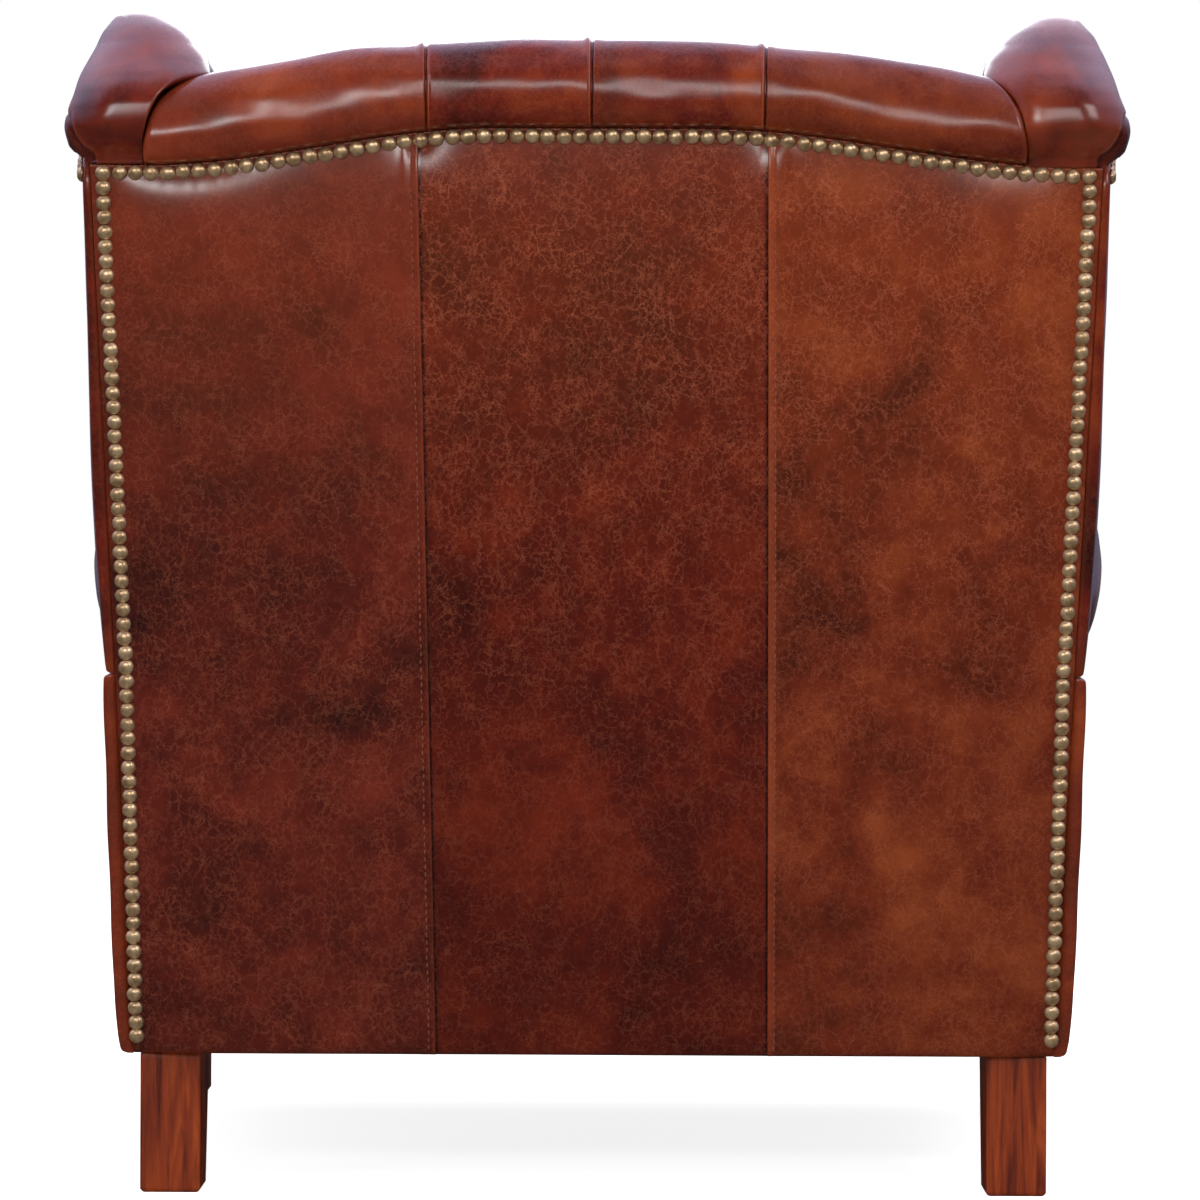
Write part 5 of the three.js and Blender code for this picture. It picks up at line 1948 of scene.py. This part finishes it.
@dataclass
class SeatCushion:
    """The loose seat cushion: a swollen leather cover with a welt round both edges."""

    hide: Material
    half: float = 265.5
    front: float = -424.0
    back: float = 118.0
    low: float = 332.3
    thick: float = 130.0
    corner: float = 34.0
    inside: float = 9.0
    swell: float = 15.0
    clear_of_foam: float = 1.5
    voxel: float = 7.0
    pressure: float = 4.0
    frames: int = 20
    welt_radius: float = 3.0
    shares: tuple = (
        (0, 0.1), (0.05, 0.03), (0.18, 0.006), (0.42, 0), (0.66, 0.006), (0.8, 0.03), (0.88, 0.11),
        (0.945, 0.3), (0.985, 0.55), (1, 0.8),
    )

    def ring_at(self, up: np.ndarray, inset: np.ndarray, corner: int, straight: int) -> np.ndarray:
        """Rounded rectangles of the cushion's outline, drawn in by an inset.

        Args:
            up: heights as shares of the thickness, shape (n,).
            inset: inset at each height, in millimetres.
            corner: points on each corner.
            straight: points on each side.

        Returns:
            Square-drawn points, shape (n, ring, 3).
        """
        middle, deep = (self.front + self.back) / 2, (self.back - self.front) / 2
        wide, long = self.half - inset, deep - inset
        z = self.low + up * self.thick
        radius = np.minimum(self.corner, wide / 2)
        sides = (-wide, wide, middle - long, middle + long)
        return rounded_rings(sides, z, radius, corner, straight)

    def plain(self, shrink: float) -> Surface:
        """The cushion before it swells.

        Args:
            shrink: how far its sides start inside their places.

        Returns:
            Its surface in square-drawn millimetres.
        """
        table = np.array(self.shares)
        up = np.concatenate([np.linspace(0, 0.9, 22), np.linspace(0.915, 1, 12)])
        inset = eased(table[:, 0], table[:, 1], up) * self.half + shrink
        rings = self.ring_at(up * (1 - shrink / self.thick), inset, 9, 20)
        return wrapped(rings)

    def swollen(self) -> Surface:
        """The cushion blown up by cloth simulation.

        Each point keeps the outward share of its move along its own normal, up to a cap, less
        how far inside its place the cover starts, and never less than nothing, so the cover is
        crowned in the space of its solid and doesn't shrink onto the foam.

        Returns:
            Its surface in square-drawn millimetres.
        """
        start = self.plain(self.clear_of_foam)
        mesh = bpy.data.meshes.new("cushion_cloth")
        faces = [list(q) for q in start.quads] + [list(t) for t in start.tris]
        mesh.from_pydata((start.points * MM).tolist(), [], faces)
        cloth = bpy.data.objects.new("cushion_cloth", mesh)
        bpy.context.scene.collection.objects.link(cloth)
        remesh = cloth.modifiers.new("remesh", "REMESH")
        remesh.mode = "VOXEL"
        remesh.voxel_size = self.voxel * MM
        self._apply(cloth)
        rest = self._points(cloth.data)
        outward = self._points(cloth.data, "vertex_normals", "vector")
        sim = cloth.modifiers.new("cloth", "CLOTH")
        sim.settings.use_pressure = True
        sim.settings.uniform_pressure_force = self.pressure
        sim.settings.effector_weights.gravity = 0.0
        sim.settings.quality = 5
        for frame in range(1, self.frames + 1):
            bpy.context.scene.frame_set(frame)
        self._apply(cloth)
        moved = self._points(cloth.data) - rest
        bpy.context.scene.frame_set(1)
        far = np.minimum((moved * outward).sum(1, keepdims=True), self.swell * MM)
        capped = rest + outward * np.maximum(far - self.inside * MM, 0)
        cloth.data.vertices.foreach_set("co", capped.astype(np.float32).ravel())
        smoother = cloth.modifiers.new("finer", "SUBSURF")
        smoother.levels = smoother.render_levels = 1
        self._apply(cloth)
        quads = [list(p.vertices) for p in cloth.data.polygons if len(p.vertices) == 4]
        tris = [list(p.vertices) for p in cloth.data.polygons if len(p.vertices) == 3]
        done = Surface(self._points(cloth.data) / MM, np.array(quads).reshape(-1, 4),
                       np.array(tris, int).reshape(-1, 3))
        bpy.data.objects.remove(cloth)
        return done

    @staticmethod
    def _apply(piece: bpy.types.Object) -> None:
        """Replaces a piece's mesh by what its modifiers make of it.

        Args:
            piece: the object.
        """
        graph = bpy.context.evaluated_depsgraph_get()
        made = bpy.data.meshes.new_from_object(piece.evaluated_get(graph))
        piece.modifiers.clear()
        piece.data = made

    @staticmethod
    def _points(mesh: bpy.types.Mesh, layer: str = "vertices", key: str = "co") -> np.ndarray:
        """Reads the mesh's points, or its normals, in one go.

        Args:
            mesh: the mesh.
            layer: its collection to read.
            key: the value to read of each item.

        Returns:
            The values, shape (n, 3).
        """
        flat = np.empty(len(mesh.vertices) * 3, np.float32)
        getattr(mesh, layer).foreach_get(key, flat)
        return flat.reshape(-1, 3).astype(float)

    def settled(self, surface: Surface) -> Surface:
        """Presses the swollen form back into its place: flat below, free of the arms and back.

        Args:
            surface: the swollen cushion.

        Returns:
            The same surface, pressed.
        """
        x, y, z = surface.points.T
        z = np.where(z < self.low + 9, self.low + (z - self.low - 9) * 0.15 + 1.6, z)
        z = np.maximum(z, self.low + 0.2)
        half, back = self.half + 0.6, self.back + 1.2
        x = np.clip(x, -half, half)
        y = np.minimum(y, back)
        points = np.stack([x, y, z], -1)
        top = smooth(z, self.low + 70, self.low + self.thick)
        soft = 2.3 + waves(points, 190, 95, 3) * 1.8 + waves(points, 60, 96, 2) * 0.4
        points[:, 2] += top * soft
        return Surface(points, surface.quads, surface.tris)

    def welt_path(self, surface: Surface, up: float, inset: float) -> np.ndarray:
        """A welt's path: the outline at one height, laid on the nearest points of the cover.

        Args:
            surface: the settled cushion.
            up: height as a share of the thickness.
            inset: inset of the outline in millimetres.

        Returns:
            Points round the cushion, in square-drawn millimetres.
        """
        ring = self.ring_at(np.array([up]), np.array([inset]), 16, 60)[0]
        spots = []
        for point in ring:
            gap = ((surface.points - point) ** 2).sum(1)
            near = np.argsort(gap)[:6]
            spots.append(surface.points[near].mean(0))
        path = np.array(spots)
        for _ in range(6):
            path = (np.roll(path, 1, 0) + 2 * path + np.roll(path, -1, 0)) / 4
        return path

    def build(self) -> None:
        """Adds the cover and both welts."""
        form = self.settled(self.swollen())
        placed = Surface(STANCE.place(form.points), form.quads, form.tris)
        cover = add_piece("seat_cushion_leather", placed, self.hide,
                          ("seat_cushion_cover",), body="cushion")
        for word, up, inset in (("top", 0.83, 9.0), ("bottom", 0.06, 5.0)):
            path = self.welt_path(form, up, inset)
            middle = np.array([0, (self.front + self.back) / 2, 0])
            out = (path - middle) * [1, 1, 0]
            path = path + out / np.linalg.norm(out, axis=1, keepdims=True) * 0.8
            path[:, 0] = np.clip(path[:, 0], -self.half + 1.4, self.half - 1.4)
            path[:, 1] = np.minimum(path[:, 1], self.back - 1.0)
            path[:, 2] = np.maximum(path[:, 2], self.low + 3.4)
            cord = tube(STANCE.place(path), self.welt_radius * MM)
            add_piece(f"seat_cushion_welt_{word}", cord, self.hide, body="cushion")


@dataclass
class FrameDressing:
    """Finishes for the frame's own nodes that stay: timber, ply, webbing, felt, cloth and foam."""

    finishes: dict

    def build(self) -> None:
        """Gives every remaining frame node the finish of its record slot."""
        for part in FRAME["record"]["subparts"]:
            finish = self.finishes.get(part["material_slot"])
            if finish is None:
                continue
            for slot in FRAME["nodes"][part["node"]].material_slots:
                slot.material = finish
            log.info("%s: %s", part["node"], finish.name)


@dataclass
class Studio:
    """Plain pale floor, soft lights and the camera of the photograph."""

    lens: float = 141.28
    position: tuple = (-0.025, 3.865, 0.4785)
    yaw: float = 0.00602
    pitch: float = -0.00838
    roll: float = 0.00412

    def camera(self) -> None:
        """Adds the camera, aimed by yaw, pitch and roll."""
        data = bpy.data.cameras.new("photo_camera")
        data.lens, data.sensor_width = self.lens, 36.0
        forward = Vector((math.sin(self.yaw) * math.cos(self.pitch),
                          -math.cos(self.yaw) * math.cos(self.pitch), math.sin(self.pitch)))
        right = forward.cross(Vector((0, 0, 1))).normalized()
        up = right.cross(forward)
        across = right * math.cos(self.roll) + up * math.sin(self.roll)
        rise = up * math.cos(self.roll) - right * math.sin(self.roll)
        camera = bpy.data.objects.new("photo_camera", data)
        turn = Matrix((across, rise, -forward)).transposed().to_4x4()
        camera.matrix_world = Matrix.Translation(self.position) @ turn
        bpy.context.scene.collection.objects.link(camera)
        bpy.context.scene.camera = camera

    def area(
        self, name: str, place: tuple, aim: tuple, size: tuple, power: float, gloss: bool = True,
    ) -> None:
        """Adds a soft box aimed at a point.

        Args:
            name: the light's name.
            place: where it stands, in metres.
            aim: what it points at.
            size: width and height.
            power: watts.
            gloss: whether it is seen in reflections.
        """
        data = bpy.data.lights.new(name, "AREA")
        data.shape, data.size, data.size_y, data.energy = "RECTANGLE", *size, power
        light = bpy.data.objects.new(name, data)
        light.location = place
        light.visible_glossy = gloss
        light.rotation_euler = (Vector(aim) - Vector(place)).to_track_quat("-Z", "Y").to_euler()
        bpy.context.scene.collection.objects.link(light)

    def floor(self) -> None:
        """Adds the pale floor: a wide disc that keeps a soft shadow under the chair."""
        turn = np.arange(96) * math.tau / 96
        mesh = bpy.data.meshes.new("studio_floor")
        ring = [(12 * math.cos(a), 12 * math.sin(a), 0.0) for a in turn]
        mesh.from_pydata(ring, [], [list(range(96))])
        material, tree = new_material("pale_studio_floor")
        rays = add_node(tree, "LightPath")
        pale = add_node(tree, "BsdfDiffuse", {"Color": linear("#e8e8e8")})
        dim = add_node(tree, "BsdfDiffuse", {"Color": linear("#3c3c3c")})
        glow = add_node(tree, "Emission", {"Color": linear("#ffffff"), "Strength": 0.85})
        seen = add_node(tree, "AddShader", {0: pale.outputs[0], 1: glow.outputs[0]})
        mirrored = add_node(tree, "MixShader", {
            0: rays.outputs["Is Glossy Ray"], 1: pale.outputs[0], 2: dim.outputs[0],
        })
        final = add_node(tree, "MixShader", {
            0: rays.outputs["Is Camera Ray"], 1: mirrored.outputs[0], 2: seen.outputs[0],
        })
        add_node(tree, "OutputMaterial", {"Surface": final.outputs[0]})
        mesh.materials.append(material)
        floor = bpy.data.objects.new("studio_floor", mesh)
        bpy.context.scene.collection.objects.link(floor)

    def world(self) -> None:
        """Sets the surroundings: white behind the chair as seen, dimmer in its reflections."""
        world = bpy.data.worlds.new("studio")
        bpy.context.scene.world = world
        world.use_nodes = True
        tree = world.node_tree
        tree.nodes.clear()
        rays = add_node(tree, "LightPath")
        heading = add_node(tree, "SeparateXYZ", {0: add_node(tree, "TexCoord").outputs["Generated"]})
        aside = add_node(tree, "Math", {0: heading.outputs["X"]}, operation="ABSOLUTE").outputs[0]
        turned = add_node(tree, "Math", {0: heading.outputs["Y"], 1: aside}, operation="SUBTRACT")
        behind = mapped(tree, turned.outputs[0], 0.0, -0.4)
        soft = add_node(tree, "Background", {"Color": linear("#ffffff"), "Strength": 0.36})
        above = mapped(tree, heading.outputs["Z"], 0.55, 1.0, 0.03, 0.3)
        high = mapped(tree, heading.outputs["Z"], 0.1, 0.7, 0.22, 1.5)
        dark = add_node(tree, "Background", {"Color": linear("#e4dcff"), "Strength": above})
        cool = add_node(tree, "Background", {"Color": linear("#d9d8ff"), "Strength": high})
        white = add_node(tree, "Background", {"Color": linear("#ffffff")})
        mirrored = add_node(tree, "MixShader", {0: behind, 1: dark.outputs[0], 2: cool.outputs[0]})
        other = add_node(tree, "MixShader", {
            0: rays.outputs["Is Glossy Ray"], 1: soft.outputs[0], 2: mirrored.outputs[0],
        })
        both = add_node(tree, "MixShader", {
            0: rays.outputs["Is Camera Ray"], 1: other.outputs[0], 2: white.outputs[0],
        })
        add_node(tree, "OutputWorld", {"Surface": both.outputs[0]})

    def build(self) -> None:
        """Adds camera, floor, surroundings and lights."""
        self.camera()
        self.floor()
        self.world()
        self.area("softbox_left", (2.5, 2.4, 1.3), (0.1, 0.2, 0.5), (1.0, 1.6), 16.0, False)
        self.area("strip_left", (1.4, 4.5, 1.9), (0.2, 0.3, 0.75), (1.2, 0.5), 30.0)
        self.area("strip_behind_camera", (-0.35, 4.9, 1.95), (0, 0.3, 0.75), (1.9, 0.5), 26.0)
        self.area("key_right", (-2.2, 2.8, 2.3), (-0.1, 0.2, 0.5), (1.1, 1.1), 26.0)
        self.area("overhead", (0.0, 1.3, 2.9), (0, 0.2, 0.5), (2.4, 1.0), 46.0, False)
        self.area("front_fill", (0.0, -2.8, 2.2), (0, 0, 0.5), (2.4, 1.4), 34.0)
        bpy.context.scene.view_settings.view_transform = "Standard"


def main() -> None:
    """Builds the whole chair and the studio round it."""
    logging.basicConfig(level=logging.INFO, format="%(message)s")
    Studio().build()
    left = PullUpLeather("pull_up_leather_back_left", deep="#2a0a08", mid="#4c130b", light="#682114",
                         offset=(0.31, 0.1, 0.07)).build()
    middle = PullUpLeather("pull_up_leather_back_middle", web_strength=0.9, web_low=0.3,
                           offset=(0.05, 0.4, 0.2)).build()
    right = PullUpLeather("pull_up_leather_back_right", deep="#3a0f05", mid="#62200c", light="#823a18",
                          web_strength=0.85, web_low=0.45, offset=(0.72, 0.2, 0.5)).build()
    # Wings and pads are paler than the back panels: partly the hide's own tone, partly painted light for
    # the crest and wings that face the light from above
    wings = PullUpLeather("pull_up_leather_wings", mid="#5e1608", light="#7c2a0f", coat_rough=0.22,
                          web_strength=0.08, wrinkle_mm=(60.0, 60.0, 60.0), wrinkle_depth=1.8,
                          offset=(0.9, 0.2, 0.6)).build()
    pads = PullUpLeather("pull_up_leather_pads", mid="#5e1507", light="#86340e", coat_rough=0.22,
                         web_strength=0.26, wrinkle_mm=(13.0, 13.0, 30.0), wrinkle_depth=3.6,
                         offset=(0.4, 0.9, 0.3)).build()
    seat = PullUpLeather("pull_up_leather_seat", light="#8d3f1d", offset=(0.15, 0.3, 0.8)).build()
    thread = Matted("waxed_linen_thread", "#481a0b", "#7c4024", 0.8, 0.2, 0.6).build()
    brass = AntiqueBrass().build()
    stained = SawnWood("stained_lacquered_beech", "#481206", "#7a2c0a", "#964012", coat=0.2,
                       roughness=0.42).build()
    OutsideBack().build([left, middle, right], thread)
    NailRows(brass).build()
    back = CrestAndInsideBack(pads)
    back.build()
    BackButtons(pads, back).build()
    for side in Side:
        Wing(side, wings).build()
        OutsideSide(side, pads).build()
        Arm(side, pads).build()
        Leg("rear_leg", side, stained, 296.5, 316.0, 45.5, 75.0, 50.0).build()
        Leg("front_leg", side, stained, 350.0, -342.0, 45.0, 50.0, 42.0).build()
    FrontBorder(pads).build()
    SeatCushion(seat).build()
    FrameDressing({
        "beech": SawnWood("planed_beech", "#9a7148", "#b98f63", "#caa57c", grime=0.2).build(),
        "birch_ply": SawnWood("birch_plywood", "#a98a5c", "#c7aa7c", "#d9c197").build(),
        "jute": PlainWeave("jute_webbing", "#6f5a38", "#b39a6c", 3.2).build(),
        "felt": Matted("brown_wool_felt", "#3e2a1d", "#654832", 2.6).build(),
        "black_cloth": PlainWeave("black_dust_cloth", "#0b0b0b", "#2a2829", 1.6, 0.2).build(),
        "grey_board": Matted("pressed_fibreboard", "#7c6444", "#a1855c", 3.2, 0.2).build(),
        "foam": Matted("upholstery_foam", "#b9a968", "#e0d29a", 1.6).build(),
    }).build()


if __name__ == "__main__":
    main()
